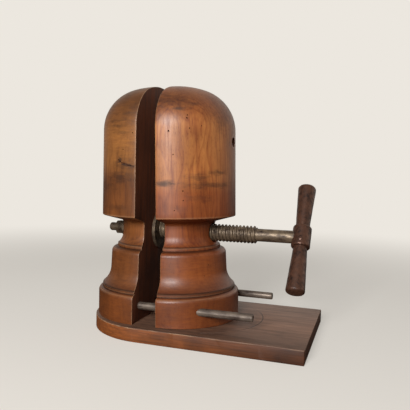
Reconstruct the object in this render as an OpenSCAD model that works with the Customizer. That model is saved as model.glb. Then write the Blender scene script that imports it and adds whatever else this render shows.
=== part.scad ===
// Wooden hat form: a domed block turned in wood and sawn down the middle, on a board.
// The hand screw pushes the moving half along two guide rods, so the form fills the hat.
// Millimetres, +Z up. The origin is on the board's underside, straight below the place
// where the screw's line crosses the fixed half's sawn face; +X points to the handle.

/* [Board] */
// Width of the board
board_w = 190; // [180:1:200]
// Thickness of the board
board_t = 18.5; // [16:0.5:22]
// Distance from the fixed half's sawn face to the board's square end
board_end_x = 222.5; // [205:0.5:240]
// Distance from the fixed half's sawn face to the tip of the board's round end
board_tip_x = 86; // [85:0.5:95]
// Radius worn on the board's long edges
board_edge_r = 2; // [1:0.25:4]

/* [Turned form] */
// Radius of the dome that the hat is pulled over
dome_r = 80; // [76:1:83]
// Radius of the arc that rounds the dome's shoulder
shoulder_r = 58; // [54:1:62]
// Radius of the flatter arc over the crown
crown_r = 124; // [115:1:140]
// Height of the shoulder arc's centre above the board
shoulder_h = 254.8; // [240:0.2:270]
// Height of the dome's lower rim above the board
rim_h = 137.5; // [134:0.5:142]
// How far the rim's underside falls towards the neck
rim_drop = 6; // [4:0.5:8]
// Radius of the neck
neck_r = 51; // [48:0.5:53]
// Radius of the hollow below the neck
neck_cove_r = 20.5; // [18:0.5:24]
// Radius of the thin band under the neck
upper_band_r = 58.3; // [57.5:0.1:59.5]
// Radius of the waist of the bell-shaped body
waist_r = 67.3; // [65:0.1:69]
// Radius of the hollow that flares the body out to the lower band
flare_r = 29; // [26:0.5:32]
// Radius of the lower band
lower_band_r = 78.6; // [78.2:0.1:79.4]
// Radius of the drum at the foot
base_r = 83.8; // [83:0.1:86]
// Opening between the two sawn faces, at the height of the guide rods
gap = 32.7; // [31:0.1:40]
// Lean of the moving half towards the fixed one, in degrees
lean = 1.63; // [0:0.01:2]

/* [Guide rods] */
// Diameter of the guide rods
rod_d = 10; // [8:0.5:12]
// Height of the guide rods above the board's underside
rod_z = 39.2; // [36:0.1:42]
// Distance of each guide rod from the middle
rod_y = 62.5; // [60:0.5:65]
// Distance from the fixed half's sawn face to the rods' free ends
rod_end_x = 154.8; // [150:0.1:160]

/* [Screw] */
// Height of the screw's line above the board's underside
screw_z = 135.2; // [133:0.1:138]
// Diameter over the thread
thread_d = 24; // [20:0.5:26]
// Distance from the fixed half's sawn face to the thread's outer end
thread_end_x = 142.4; // [135:0.1:150]
// Diameter of the plain shank
shank_d = 17; // [14:0.5:18]
// Diameter of the tail that turns in the fixed half
tail_d = 12; // [10:0.5:12]
// Distance that the tail reaches past the fixed half's sawn face
tail_x = 78; // [72:0.5:84]
// Width across the flats of the tail nut
tail_nut_af = 18; // [17:0.5:20]
// Radius of the thrust plate and of the screw nut's flange
plate_r = 26; // [24:0.5:28]
// Thickness of the thrust plate
plate_t = 4; // [3:0.5:4]
// Thickness of the screw nut's flange
flange_t = 5; // [4:0.5:7]

/* [Handle] */
// Distance from the fixed half's sawn face to the middle of the handle
handle_x = 202; // [195:0.5:210]
// Half the length of the handle
handle_reach = 79; // [65:1:90]
// Angle of the handle from upright, its top turned away from the front
handle_turn = 34; // [0:1:60]
// Diameter of the boss across the shank
boss_d = 24.5; // [23.5:0.5:27]
// Length of the boss
boss_l = 30; // [28:1:36]
// Diameter of a grip where it leaves the boss
grip_neck_d = 18; // [16:0.5:20]
// Diameter of a grip at its free end
grip_end_d = 24.2; // [21:0.1:28]

/* [Peg hole] */
// Diameter of the blind hole in the side of the dome
peg_hole_d = 13; // [10:0.5:14]
// Height of the blind hole above the board's underside
peg_hole_z = 259.5; // [240:0.5:265]
// Distance from the fixed half's sawn face to the bottom of the blind hole
peg_hole_x = 82; // [75:0.5:90]

/* [Hidden] */
$fn = 96;

// Radial clearance of a shaft that slides or turns in its hole
running = 0.05;
// Gap between faces that rub
rub_gap = 0.1;
// Gap under the moving half's foot
foot_gap = 0.3;
// Extra length of a cutting tool past the face that it starts from
past = 1;

wood = "peru";
board_wood = "tan";
dark_iron = "dimgray";
bright_steel = "lightsteelblue";
screw_steel = "darkgray";
handle_iron = "saddlebrown";

// Points along an arc, from one angle to another
function arc(centre, r, from, to, steps) = [
    for (i = [0:steps])
        let (a = from + (to - from) * i / steps)
            centre + r * [cos(a), sin(a)]
];

// Turned outline, heights above the board. A quirk is the small notch beside a band.
quirk = 0.6;
foot_ring_h = 37.5;
foot_round_r = base_r - lower_band_r + quirk;
lower_band_h = 4;
flare_bottom_h = foot_ring_h + lower_band_h + 2 * quirk;
flare_end_r = lower_band_r - quirk;
flare_turn = acos(1 - (flare_end_r - waist_r) / flare_r);
flare_h = flare_bottom_h + flare_r * sin(flare_turn);
bell_top_h = 93.3;
bell_round_r = 6.5;
bell_taper = 0.9;
bell_top_r = waist_r - bell_taper;
upper_band_h = 4.6;
cove_end_r = upper_band_r - 3 * quirk;
cove_turn = acos(1 - (cove_end_r - neck_r) / neck_cove_r);
cove_end_h = bell_top_h + upper_band_h + 2.5 * quirk;
cove_h = cove_end_h + neck_cove_r * sin(cove_turn);
rim_round_r = 1.5;
throat_r = 5;
underside_slope = atan(rim_drop / (dome_r - neck_r - throat_r));
throat_h = rim_h - rim_drop - throat_r;
crown_h = shoulder_h - sqrt(pow(crown_r - shoulder_r, 2) - pow(dome_r - shoulder_r, 2));
crown_turn = acos((dome_r - shoulder_r) / (crown_r - shoulder_r));

// How far the leaning half's outline is carried below the board's top before it is cut flat
foot_spare = 6;

// Half of the turned outline, from the foot to the crown. below carries the foot lower.
function outline(below) = concat(
    [[0, -below], [base_r, -below]],
    arc([base_r - foot_round_r, foot_ring_h - foot_round_r], foot_round_r, 0, 90, 6),
    [
        [lower_band_r - quirk, foot_ring_h + quirk],
        [lower_band_r, foot_ring_h + 2 * quirk],
        [lower_band_r, foot_ring_h + lower_band_h],
        [flare_end_r - quirk, foot_ring_h + lower_band_h + quirk]
    ],
    arc([waist_r + flare_r, flare_h], flare_r, 180 + flare_turn, 180, 8),
    arc([bell_top_r - bell_round_r, bell_top_h - bell_round_r], bell_round_r, 0, 80, 6),
    [
        [upper_band_r - quirk, bell_top_h + quirk],
        [upper_band_r, bell_top_h + 2 * quirk],
        [upper_band_r, bell_top_h + upper_band_h],
        [upper_band_r - quirk, bell_top_h + upper_band_h + quirk]
    ],
    arc([neck_r + neck_cove_r, cove_h], neck_cove_r, 180 + cove_turn, 180, 6),
    arc([neck_r + throat_r, throat_h], throat_r, 180, 90 + underside_slope, 4),
    arc([dome_r - rim_round_r, rim_h + rim_round_r], rim_round_r, -90 + underside_slope, 0, 3),
    arc([dome_r - shoulder_r, shoulder_h], shoulder_r, 0, crown_turn, 12),
    arc([0, crown_h], crown_r, crown_turn, 90, 5)
);

// Half of the turned block: the side with x below zero
module turned_half(below) {
    rotate([0, 0, 90])
        rotate_extrude(angle = 180)
            polygon(outline(below));
}

// Cylinder along +X from one x to another, at height z
module bar_x(x0, x1, d, y, z) {
    translate([x0, y, z]) rotate([0, 90, 0]) cylinder(h = x1 - x0, d = d);
}

// Board
board_end_r = board_w / 2;
board_arc_x = board_end_r - board_tip_x;
wood_screw_d = 5.5;
wood_screw_head_d = 10.5;
wood_screw_head_h = 3.5;
wood_screw_top = 46;
wood_screw_sunk = 0.5;
wood_screw_l = wood_screw_top - wood_screw_sunk;
wood_screws_at = [[-18, -36], [-18, 36], [-58, -22], [-58, 22]];

// Section across half the board, from the middle to one long edge, with worn corners
module half_board_section() {
    square([board_end_r - board_edge_r, board_t]);
    translate([0, board_edge_r]) square([board_end_r, board_t - 2 * board_edge_r]);
    for (z = [board_edge_r, board_t - board_edge_r])
        translate([board_end_r - board_edge_r, z]) circle(r = board_edge_r);
}

// Countersunk wood screw along +Z, its head's flat at z = 0
module wood_screw(d, head_d, head_h, length) {
    cylinder(h = head_h, d1 = head_d, d2 = d);
    cylinder(h = length, d = d);
}

module place_board_screws() {
    for (p = wood_screws_at)
        translate([p[0], p[1], wood_screw_sunk])
            wood_screw(wood_screw_d, wood_screw_head_d, wood_screw_head_h, wood_screw_l);
}

module base_board() {
    color(board_wood)
        difference() {
            union() {
                translate([board_arc_x, 0, 0])
                    rotate([90, 0, 90])
                        linear_extrude(board_end_x - board_arc_x)
                            union() {
                                half_board_section();
                                mirror([1, 0]) half_board_section();
                            }
                translate([board_arc_x, 0, 0])
                    rotate([0, 0, 90])
                        rotate_extrude(angle = 180)
                            half_board_section();
            }
            place_board_screws();
            for (p = wood_screws_at)
                translate([p[0], p[1], -past])
                    cylinder(h = past + wood_screw_sunk, d = wood_screw_head_d);
        }
}

module board_screws() {
    color(bright_steel) place_board_screws();
}

// Guide rods
rod_depth = 45;
rod_chamfer = 0.8;

module guide_rod(side) {
    color(bright_steel)
        translate([-rod_depth, side * rod_y, rod_z])
            rotate([0, 90, 0])
                rotate_extrude()
                    polygon([
                        [0, 0],
                        [rod_d / 2, 0],
                        [rod_d / 2, rod_depth + rod_end_x - rod_chamfer],
                        [rod_d / 2 - rod_chamfer, rod_depth + rod_end_x],
                        [0, rod_depth + rod_end_x]
                    ]);
}

module front_guide_rod() {
    guide_rod(-1);
}

module rear_guide_rod() {
    guide_rod(1);
}

// Small countersunk screws in a ring round the screw's line
ring_screw_d = 4;
ring_screw_head_d = 8;
ring_screw_head_h = 2;
ring_screw_l = 20;
ring_r = 19.5;

module ring_of_screws(x, way, turn) {
    translate([x, 0, screw_z])
        for (a = [turn:120:turn + 240])
            rotate([a, 0, 0])
                translate([0, 0, ring_r])
                    rotate([0, 90 * way, 0])
                        wood_screw(ring_screw_d, ring_screw_head_d, ring_screw_head_h, ring_screw_l);
}

// Thrust plate, on the fixed half's sawn face
module plate_ring() {
    ring_of_screws(plate_t, -1, 90);
}

module thrust_plate() {
    color(dark_iron)
        difference() {
            bar_x(0, plate_t, 2 * plate_r, 0, screw_z);
            bar_x(-past, plate_t + past, tail_d + 2 * running, 0, screw_z);
            plate_ring();
        }
}

module thrust_plate_screws() {
    color(bright_steel) plate_ring();
}

// Fixed half
tail_seat_x = -50;
tail_seat_d = 28;
tail_seat_reach = 12;

module fixed_half() {
    color(wood)
        difference() {
            translate([0, 0, board_t]) turned_half(0);
            bar_x(-base_r, past, tail_d + 2 * running, 0, screw_z);
            bar_x(tail_seat_x - tail_seat_reach, tail_seat_x, tail_seat_d, 0, screw_z);
            for (side = [-1, 1])
                bar_x(-rod_depth, past, rod_d, side * rod_y, rod_z);
            plate_ring();
            place_board_screws();
        }
}

// Screw nut, let into the moving half's sawn face
nut_x = gap - (screw_z - rod_z) * tan(lean);
nut_hub_d = 34;
nut_hub_l = 23;
nut_bore_d = thread_d + 2 * running;
neck_hole_d = thread_d + 4;

module nut_ring() {
    ring_of_screws(nut_x, 1, 30);
}

module nut_body() {
    bar_x(nut_x, nut_x + flange_t, 2 * plate_r, 0, screw_z);
    bar_x(nut_x, nut_x + flange_t + nut_hub_l, nut_hub_d, 0, screw_z);
}

module screw_nut() {
    color(dark_iron)
        difference() {
            nut_body();
            bar_x(nut_x - past, nut_x + flange_t + nut_hub_l + past, nut_bore_d, 0, screw_z);
            nut_ring();
        }
}

module screw_nut_screws() {
    color(bright_steel) nut_ring();
}

// Moving half: the same outline, turned round and leaning, with its foot cut flat
cut_box = 400;

module moving_half() {
    color(wood)
        difference() {
            translate([gap, 0, rod_z])
                rotate([0, -lean, 0])
                    translate([0, 0, board_t - rod_z])
                        rotate([0, 0, 180])
                            turned_half(foot_spare);
            translate([-cut_box / 2, -cut_box / 2, board_t + foot_gap - cut_box])
                cube(cut_box);
            for (side = [-1, 1])
                bar_x(0, rod_end_x, rod_d + 2 * running, side * rod_y, rod_z);
            nut_body();
            bar_x(nut_x - plate_t, nut_x + past, 2 * plate_r, 0, screw_z);
            nut_ring();
            bar_x(nut_x, thread_end_x, neck_hole_d, 0, screw_z);
            bar_x(peg_hole_x, peg_hole_x + 2 * dome_r, peg_hole_d, 0, peg_hole_z);
        }
}

// Lead screw: tail, thread, shank and the tenon that the handle's boss is fixed to
thread_start_x = plate_t + rub_gap;
tail_chamfer = 1.5;
thread_chamfer = 2;
shank_in_boss = 4.75;
shank_end_x = handle_x - boss_d / 2 + shank_in_boss;
tenon_d = 11;
tenon_past_middle = 7;
tenon_end_x = handle_x + tenon_past_middle;
pin_d = 5;

module lead_screw() {
    color(screw_steel)
        difference() {
            translate([0, 0, screw_z])
                rotate([0, 90, 0])
                    rotate_extrude()
                        polygon([
                            [0, -tail_x],
                            [tail_d / 2 - tail_chamfer, -tail_x],
                            [tail_d / 2, -tail_x + tail_chamfer],
                            [tail_d / 2, thread_start_x],
                            [thread_d / 2, thread_start_x],
                            [thread_d / 2, thread_end_x - thread_chamfer],
                            [thread_d / 2 - thread_chamfer, thread_end_x],
                            [shank_d / 2, thread_end_x],
                            [shank_d / 2, shank_end_x],
                            [tenon_d / 2, shank_end_x],
                            [tenon_d / 2, tenon_end_x],
                            [0, tenon_end_x]
                        ]);
            in_handle() cross_bar(boss_d);
        }
}

// Washer and nut that keep the tail in the fixed half
washer_d = 26;
washer_t = 4;
tail_nut_t = 12;
washer_x = tail_seat_x - rub_gap - washer_t;
tail_nut_x = washer_x - tail_nut_t;
nut_bevel = 30;

module tail_washer() {
    color(screw_steel)
        difference() {
            bar_x(washer_x, washer_x + washer_t, washer_d, 0, screw_z);
            bar_x(washer_x - past, washer_x + washer_t + past, tail_d, 0, screw_z);
        }
}

module tail_nut() {
    corner_r = tail_nut_af / sqrt(3);
    bevel_depth = (corner_r - tail_nut_af / 2) * tan(nut_bevel);
    color(screw_steel)
        difference() {
            intersection() {
                translate([tail_nut_x, 0, screw_z])
                    rotate([0, 90, 0])
                        rotate([0, 0, 30])
                            cylinder(h = tail_nut_t, r = corner_r, $fn = 6);
                translate([tail_nut_x, 0, screw_z])
                    rotate([0, 90, 0])
                        rotate_extrude()
                            polygon([
                                [0, 0],
                                [tail_nut_af / 2, 0],
                                [corner_r, bevel_depth],
                                [corner_r, tail_nut_t],
                                [0, tail_nut_t]
                            ]);
            }
            bar_x(tail_nut_x - past, tail_nut_x + tail_nut_t + past, tail_d, 0, screw_z);
        }
}

// Handle. Its own frame has Z along the grips and X along the screw.
socket_d = 15;
spigot_gap = 0.3;
spigot_start = tenon_d / 2 + spigot_gap;
boss_round_r = 2;
grip_round_r = 3.5;
grip_dome = 1.2;
pin_head_d = 7;
pin_head_h = 1.4;
pin_seat_depth = 0.8;
pin_seat_y = boss_d / 2 - pin_seat_depth;
// The pin passes below the screw's line, through a notch in the tenon
pin_drop = 6.5;

module in_handle() {
    translate([handle_x, 0, screw_z])
        rotate([-handle_turn, 0, 0])
            children();
}

module cross_bar(length) {
    translate([0, 0, -pin_drop]) rotate([90, 0, 0]) cylinder(h = length, d = pin_d, center = true);
}

// Where the pin's two heads sit, each standing out along Z
module at_pin_heads() {
    for (side = [-1, 1])
        translate([0, 0, -pin_drop])
            rotate([90 * side, 0, 0])
                translate([0, 0, pin_seat_y])
                    children();
}

module handle_boss() {
    r = boss_d / 2;
    h = boss_l / 2;
    color(handle_iron)
        in_handle()
            difference() {
                rotate_extrude()
                    polygon(concat(
                        [[0, -h]],
                        arc([r - boss_round_r, -h + boss_round_r], boss_round_r, -90, 0, 4),
                        arc([r - boss_round_r, h - boss_round_r], boss_round_r, 0, 90, 4),
                        [[0, h]]
                    ));
                cylinder(h = boss_l + 2 * past, d = socket_d, center = true);
                translate([-boss_d, 0, 0])
                    rotate([0, 90, 0])
                        cylinder(h = boss_d + shank_end_x - handle_x, d = shank_d + 2 * running);
                translate([shank_end_x - handle_x, 0, 0])
                    rotate([0, 90, 0])
                        cylinder(h = tenon_end_x - shank_end_x, d = tenon_d + 2 * running);
                cross_bar(boss_d + 2 * past);
                at_pin_heads() cylinder(h = boss_d, d = pin_head_d);
            }
}

// One grip, standing up from the boss
module grip() {
    end_r = grip_end_d / 2;
    end_h = handle_reach - grip_dome;
    rotate_extrude()
        polygon(concat(
            [
                [0, spigot_start],
                [socket_d / 2, spigot_start],
                [socket_d / 2, boss_l / 2],
                [grip_neck_d / 2, boss_l / 2]
            ],
            arc([end_r - grip_round_r, end_h - grip_round_r], grip_round_r, 0, 80, 5),
            [[0, handle_reach]]
        ));
}

module upper_grip() {
    color(handle_iron) in_handle() grip();
}

module lower_grip() {
    color(handle_iron)
        in_handle()
            difference() {
                mirror([0, 0, 1]) grip();
                cross_bar(boss_d);
            }
}

module cross_pin() {
    color(bright_steel)
        in_handle() {
            cross_bar(2 * pin_seat_y);
            at_pin_heads()
                rotate_extrude()
                    polygon([
                        [0, 0],
                        [pin_head_d / 2, 0],
                        [pin_head_d / 2, pin_head_h / 2],
                        [pin_d / 2, pin_head_h],
                        [0, pin_head_h]
                    ]);
        }
}

base_board();
fixed_half();
moving_half();
front_guide_rod();
rear_guide_rod();
thrust_plate();
thrust_plate_screws();
board_screws();
screw_nut();
screw_nut_screws();
lead_screw();
tail_washer();
tail_nut();
handle_boss();
upper_grip();
lower_grip();
cross_pin();
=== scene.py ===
import math
import random

import bmesh
import bpy
from bpy.props import FloatProperty, FloatVectorProperty, IntProperty, PointerProperty
from mathutils import Euler, Matrix, Vector, noise


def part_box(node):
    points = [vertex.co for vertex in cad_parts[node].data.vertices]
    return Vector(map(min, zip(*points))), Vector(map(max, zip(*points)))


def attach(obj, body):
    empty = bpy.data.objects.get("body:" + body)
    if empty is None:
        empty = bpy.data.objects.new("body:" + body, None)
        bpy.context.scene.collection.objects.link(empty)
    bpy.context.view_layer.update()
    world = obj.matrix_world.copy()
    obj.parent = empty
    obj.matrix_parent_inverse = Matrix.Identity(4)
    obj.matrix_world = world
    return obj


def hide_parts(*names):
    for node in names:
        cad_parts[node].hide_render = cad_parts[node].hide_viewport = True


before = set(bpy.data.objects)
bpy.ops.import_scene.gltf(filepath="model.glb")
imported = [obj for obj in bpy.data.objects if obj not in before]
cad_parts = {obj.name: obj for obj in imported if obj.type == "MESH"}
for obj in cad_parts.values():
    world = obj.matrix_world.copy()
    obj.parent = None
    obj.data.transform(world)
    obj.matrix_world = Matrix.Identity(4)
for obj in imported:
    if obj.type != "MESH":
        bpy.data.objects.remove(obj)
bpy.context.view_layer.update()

bl_info = {
    "name": "Wooden Hat Form",
    "version": (1, 0, 0),
    "blender": (4, 5, 0),
    "location": "View3D > Sidebar > Hat Form",
    "description": "A hat form turned in wood and sawn in two, with its board, guide rods and hand screw",
    "category": "Add Mesh",
}

# One millimetre. Every size is in metres, and the pieces lie where the frame has them.
MM = 0.001
# Vertices nearer than this are one vertex
WELD = 0.002 * MM
# Extra length of a cutting tool past the face that it starts from
PAST = 1 * MM

BOARD_LOW, BOARD_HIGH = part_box("base_board")
ROD_LOW, ROD_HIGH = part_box("front_guide_rod")
SCREW_LOW, SCREW_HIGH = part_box("lead_screw")
FIXED_LOW, FIXED_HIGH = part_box("fixed_half")
PLATE_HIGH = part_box("thrust_plate")[1]
NUT_LOW, NUT_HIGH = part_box("screw_nut")
WASHER_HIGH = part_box("tail_washer")[1]

ROD_Y = (ROD_LOW.y + ROD_HIGH.y) / 2
ROD_Z = (ROD_LOW.z + ROD_HIGH.z) / 2
SCREW_Z = (SCREW_LOW.z + SCREW_HIGH.z) / 2


def linear(code):
    """An sRGB hex colour as linear red, green, blue and alpha."""
    channels = [int(code[i : i + 2], 16) / 255 for i in (0, 2, 4)]
    return (*[c / 12.92 if c <= 0.04045 else ((c + 0.055) / 1.055) ** 2.4 for c in channels], 1.0)


def size_property(name, description, default):
    """A length in metres that a user may change."""
    return FloatProperty(
        name=name, description=description, default=default, min=0, unit="LENGTH", subtype="DISTANCE",
        precision=5
    )


def colour_property(name, description, code):
    """A colour that a user may change, from its sRGB hex value."""
    return FloatVectorProperty(
        name=name, description=description, default=linear(code), size=4, min=0, max=1, subtype="COLOR"
    )


class HatFormTurning(bpy.types.PropertyGroup):
    """Sizes of the turned outline. Heights are above the board."""

    dome_r: size_property("Dome radius", "Radius of the dome that the hat is pulled over", 80 * MM)
    shoulder_r: size_property("Shoulder radius", "Radius of the arc that rounds the dome's shoulder", 58 * MM)
    crown_r: size_property("Crown radius", "Radius of the flatter arc over the crown", 124 * MM)
    shoulder_h: size_property("Shoulder height", "Height of the shoulder arc's centre", 254.8 * MM)
    rim_h: size_property("Rim height", "Height of the dome's lower rim", 137.5 * MM)
    rim_drop: size_property("Rim drop", "How far the rim's underside falls towards the neck", 6 * MM)
    neck_r: size_property("Neck radius", "Radius of the neck", 51 * MM)
    neck_cove_r: size_property("Neck hollow", "Radius of the hollow below the neck", 20.5 * MM)
    upper_band_r: size_property("Upper band", "Radius of the thin band under the neck", 58.3 * MM)
    waist_r: size_property("Waist radius", "Radius of the waist of the bell-shaped body", 67.3 * MM)
    flare_r: size_property("Flare radius", "Radius of the hollow that flares the body out", 29 * MM)
    lower_band_r: size_property("Lower band", "Radius of the lower band", 78.6 * MM)
    base_r: size_property("Foot radius", "Radius of the drum at the foot", FIXED_HIGH.y)
    quirk: size_property("Quirk", "Size of the small notch beside a band", 0.6 * MM)
    gap: size_property("Gap", "Opening between the sawn faces at the guide rods", 32.7 * MM)
    lean: FloatProperty(
        name="Lean",
        description="Lean of the moving half towards the fixed one",
        default=math.radians(1.63),
        subtype="ANGLE",
    )
    arris_r: size_property("Worn arris", "Most that the arrises of the sawn faces are worn", 0.75 * MM)
    steps: IntProperty(
        name="Steps", description="Steps of the spin round the lathe's axis", default=192, min=48
    )


class HatFormScrew(bpy.types.PropertyGroup):
    """Sizes of the hand screw and its handle."""

    thread_r: size_property("Thread radius", "Radius over the thread's crests", SCREW_HIGH.z - SCREW_Z)
    root_r: size_property("Root radius", "Radius at the bottom of the thread", 9.7 * MM)
    pitch: size_property("Pitch", "Distance from one crest of the thread to the next", 5 * MM)
    thread_end_x: size_property("Thread end", "Place of the thread's outer end", 142.4 * MM)
    shank_r: size_property("Shank radius", "Radius of the plain shank", 8.5 * MM)
    tail_r: size_property("Tail radius", "Radius of the tail that turns in the fixed half", 6 * MM)
    tail_pitch: size_property("Tail pitch", "Pitch of the fine thread on the tail", 1.75 * MM)
    handle_x: size_property(
        "Handle place", "Distance from the fixed half's sawn face to the handle", 202 * MM
    )
    handle_reach: size_property("Handle reach", "Half the length of the handle", 79 * MM)
    handle_turn: FloatProperty(
        name="Handle turn",
        description="Angle of the handle from upright",
        default=math.radians(34),
        subtype="ANGLE",
    )
    boss_r: size_property("Boss radius", "Radius of the boss across the shank", 12.25 * MM)
    boss_l: size_property("Boss length", "Length of the boss", 30 * MM)
    grip_neck_r: size_property("Grip at the boss", "Radius of a grip where it leaves the boss", 9 * MM)
    grip_end_r: size_property("Grip at its end", "Radius of a grip at its free end", 12.1 * MM)


class HatFormColours(bpy.types.PropertyGroup):
    """Colours of the finishes."""

    moving_light: colour_property("Moving half, light", "Light grain of the moving half", "bb7a3f")
    moving_dark: colour_property("Moving half, dark", "Dark grain of the moving half", "884a24")
    fixed_light: colour_property("Fixed half, light", "Light grain of the fixed half", "936030")
    fixed_dark: colour_property("Fixed half, dark", "Dark grain of the fixed half", "6a401f")
    sawn: colour_property("Sawn face", "Dark wood of the sawn faces", "743c1e")
    # This dark colour stands for dirt, and in the notches beside the bands also for painted shade.
    grime_and_shade: colour_property("Grime", "Dirt in the notches, holes and stains", "26140c")
    # On the halves this pale colour is partly rubbed wood and partly a painted highlight on the arrises, the
    # rim and the band ridges.
    arris: colour_property("Arris", "Pale wood where an edge is rubbed", "b08a68")
    board_top: colour_property("Board top", "Greyed wood of the board's top", "86604a")
    board_edge: colour_property("Board edge", "Orange-brown wood of the board's edges", "85491f")
    steel: colour_property("Steel", "Drawn steel of the guide rods", "85776a")
    screw_iron: colour_property("Screw iron", "Oiled iron of the screw", "8a7862")
    handle_iron: colour_property("Handle iron", "Browned iron of the handle", "6e4c3c")


class HatFormStage(bpy.types.PropertyGroup):
    """The camera, the lamp and the floor."""

    camera_at: FloatVectorProperty(
        name="Camera place",
        description="Where the camera stands",
        default=(0.287791, -0.658384, 0.212803),
        subtype="TRANSLATION",
    )
    camera_yaw: FloatProperty(name="Yaw", description="Turn of the view to the left", default=18.467)
    camera_pitch: FloatProperty(name="Pitch", description="Tilt of the view upwards", default=-3.323)
    camera_roll: FloatProperty(name="Roll", description="Roll of the camera", default=1.387)
    lens: FloatProperty(name="Lens", description="Focal length on a 36 mm sensor", default=43.962)
    key_power: FloatProperty(name="Key lamp", description="Power of the key lamp", default=45.0, min=0)
    fill_strength: FloatProperty(name="Fill", description="Strength of the room's light", default=0.14, min=0)
    backdrop: colour_property("Backdrop", "Pale colour of the floor and the background", "ece7df")
    bounce: colour_property("Bounce", "Colour of the light that the floor throws back", "5a4538")


def deselect():
    """Leaves edit mode and deselects everything."""
    if bpy.context.object and bpy.context.object.mode != "OBJECT":
        bpy.ops.object.mode_set(mode="OBJECT")
    bpy.ops.object.select_all(action="DESELECT")


def alone(piece):
    """Makes one piece the only one selected, and the active one."""
    deselect()
    piece.select_set(True)
    bpy.context.view_layer.objects.active = piece


def edit(piece):
    """Opens one piece in edit mode with nothing selected."""
    alone(piece)
    bpy.ops.object.mode_set(mode="EDIT")
    bpy.ops.mesh.select_all(action="DESELECT")


def named(name):
    """The new primitive, under the name that it keeps."""
    piece = bpy.context.object
    piece.name = name
    piece.data.name = name
    return piece


def choose(piece, kind, test):
    """In edit mode, selects only the vertices, edges or faces that pass the test."""
    bpy.ops.mesh.select_mode(type=kind)
    bpy.ops.mesh.select_all(action="DESELECT")
    mesh = bmesh.from_edit_mesh(piece.data)
    for element in {"VERT": mesh.verts, "EDGE": mesh.edges, "FACE": mesh.faces}[kind]:
        if test(element):
            element.select_set(True)
    mesh.select_flush_mode()
    bmesh.update_edit_mesh(piece.data)


def modify(piece, kind, **settings):
    """Adds one modifier to a piece and applies it."""
    alone(piece)
    modifier = piece.modifiers.new(kind.lower(), kind)
    for name, value in settings.items():
        setattr(modifier, name, value)
    bpy.ops.object.modifier_apply(modifier=modifier.name)


def combine(piece, tool, operation="DIFFERENCE"):
    """Cuts one solid with another, or unites or intersects them, and removes the tool."""
    modify(piece, "BOOLEAN", object=tool, operation=operation, solver="EXACT")
    bpy.data.objects.remove(tool)
    edit(piece)
    bpy.ops.mesh.select_all(action="SELECT")
    bpy.ops.mesh.remove_doubles(threshold=WELD)
    bpy.ops.object.mode_set(mode="OBJECT")


def joined(name, pieces):
    """Several meshes as one."""
    deselect()
    for piece in pieces:
        piece.select_set(True)
    bpy.context.view_layer.objects.active = pieces[0]
    if len(pieces) > 1:
        bpy.ops.object.join()
    return named(name)


def put(piece, place):
    """Moves a piece to its place and keeps that place in the mesh."""
    piece.matrix_world = place @ piece.matrix_world
    alone(piece)
    bpy.ops.object.transform_apply(location=True, rotation=True, scale=True)


def close_up(piece):
    """Merges doubled vertices and turns the faces outwards."""
    edit(piece)
    bpy.ops.mesh.select_all(action="SELECT")
    bpy.ops.mesh.remove_doubles(threshold=WELD)
    bpy.ops.mesh.normals_make_consistent(inside=False)
    bpy.ops.object.mode_set(mode="OBJECT")


def spun(name, outline, steps):
    """Spins an outline of (distance from the axis, height) round Z, as on a lathe."""
    deselect()
    bpy.ops.mesh.primitive_plane_add(size=MM)
    piece = named(name)
    bpy.ops.object.mode_set(mode="EDIT")
    bpy.ops.mesh.select_mode(type="VERT")
    bpy.ops.mesh.select_all(action="SELECT")
    bpy.ops.mesh.merge(type="CENTER")
    bpy.ops.transform.translate(value=(outline[0][0], 0, outline[0][1]))
    for (r0, h0), (r1, h1) in zip(outline, outline[1:]):
        bpy.ops.mesh.extrude_region_move(TRANSFORM_OT_translate={"value": (r1 - r0, 0, h1 - h0)})
    bpy.ops.mesh.select_all(action="SELECT")
    bpy.ops.mesh.spin(steps=steps, angle=math.tau, center=(0, 0, 0), axis=(0, 0, 1), use_auto_merge=True)
    close_up(piece)
    return piece


def bar(name, x0, x1, radius, y, z, steps=48):
    """A round bar along X, from one place to another."""
    deselect()
    bpy.ops.mesh.primitive_cylinder_add(
        vertices=steps, radius=radius, depth=x1 - x0, location=((x0 + x1) / 2, y, z),
        rotation=(0, math.pi / 2, 0)
    )
    piece = named(name)
    put(piece, Matrix.Identity(4))
    return piece


def soften(piece, width, segments, test, uneven=0.0, scale=20 * MM):
    """Rounds the edges that pass the test. uneven is the share of the width that comes and goes."""
    alone(piece)
    mesh = bmesh.new()
    mesh.from_mesh(piece.data)
    mesh.edges.ensure_lookup_table()
    layers = mesh.edges.layers.float
    layer = layers.get("bevel_weight_edge") or layers.new("bevel_weight_edge")
    for edge in mesh.edges:
        edge[layer] = 0.0
        if test(edge):
            middle = (edge.verts[0].co + edge.verts[1].co) / 2
            wave = 0.5 + 0.5 * noise.noise(middle / scale)
            edge[layer] = 1.0 - uneven * wave
    mesh.to_mesh(piece.data)
    mesh.free()
    modify(
        piece,
        "BEVEL",
        limit_method="WEIGHT",
        width=width,
        segments=segments,
        use_clamp_overlap=False,
        harden_normals=False,
    )


def give_slots(piece, count):
    """Empty material slots, so that a cut keeps which face has which material."""
    while len(piece.data.materials) < count:
        piece.data.materials.append(None)


def check_closed(piece):
    """Stops the script where a cut has torn the piece."""
    mesh = bmesh.new()
    mesh.from_mesh(piece.data)
    open_edges = sum(1 for edge in mesh.edges if len(edge.link_faces) != 2)
    mesh.free()
    if open_edges:
        raise RuntimeError("%s has %d open edges" % (piece.name, open_edges))


def dress(piece, body, slot, materials, *nodes, angle=35):
    """Gives a piece its materials, its smooth shading and its body, and hides the nodes that it stands for.
    """
    check_closed(piece)
    alone(piece)
    give_slots(piece, len(materials))
    for index, material in enumerate(materials):
        piece.data.materials[index] = material
    bpy.ops.object.shade_smooth_by_angle(angle=math.radians(angle))
    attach(piece, body)
    if nodes:
        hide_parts(*nodes)


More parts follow.
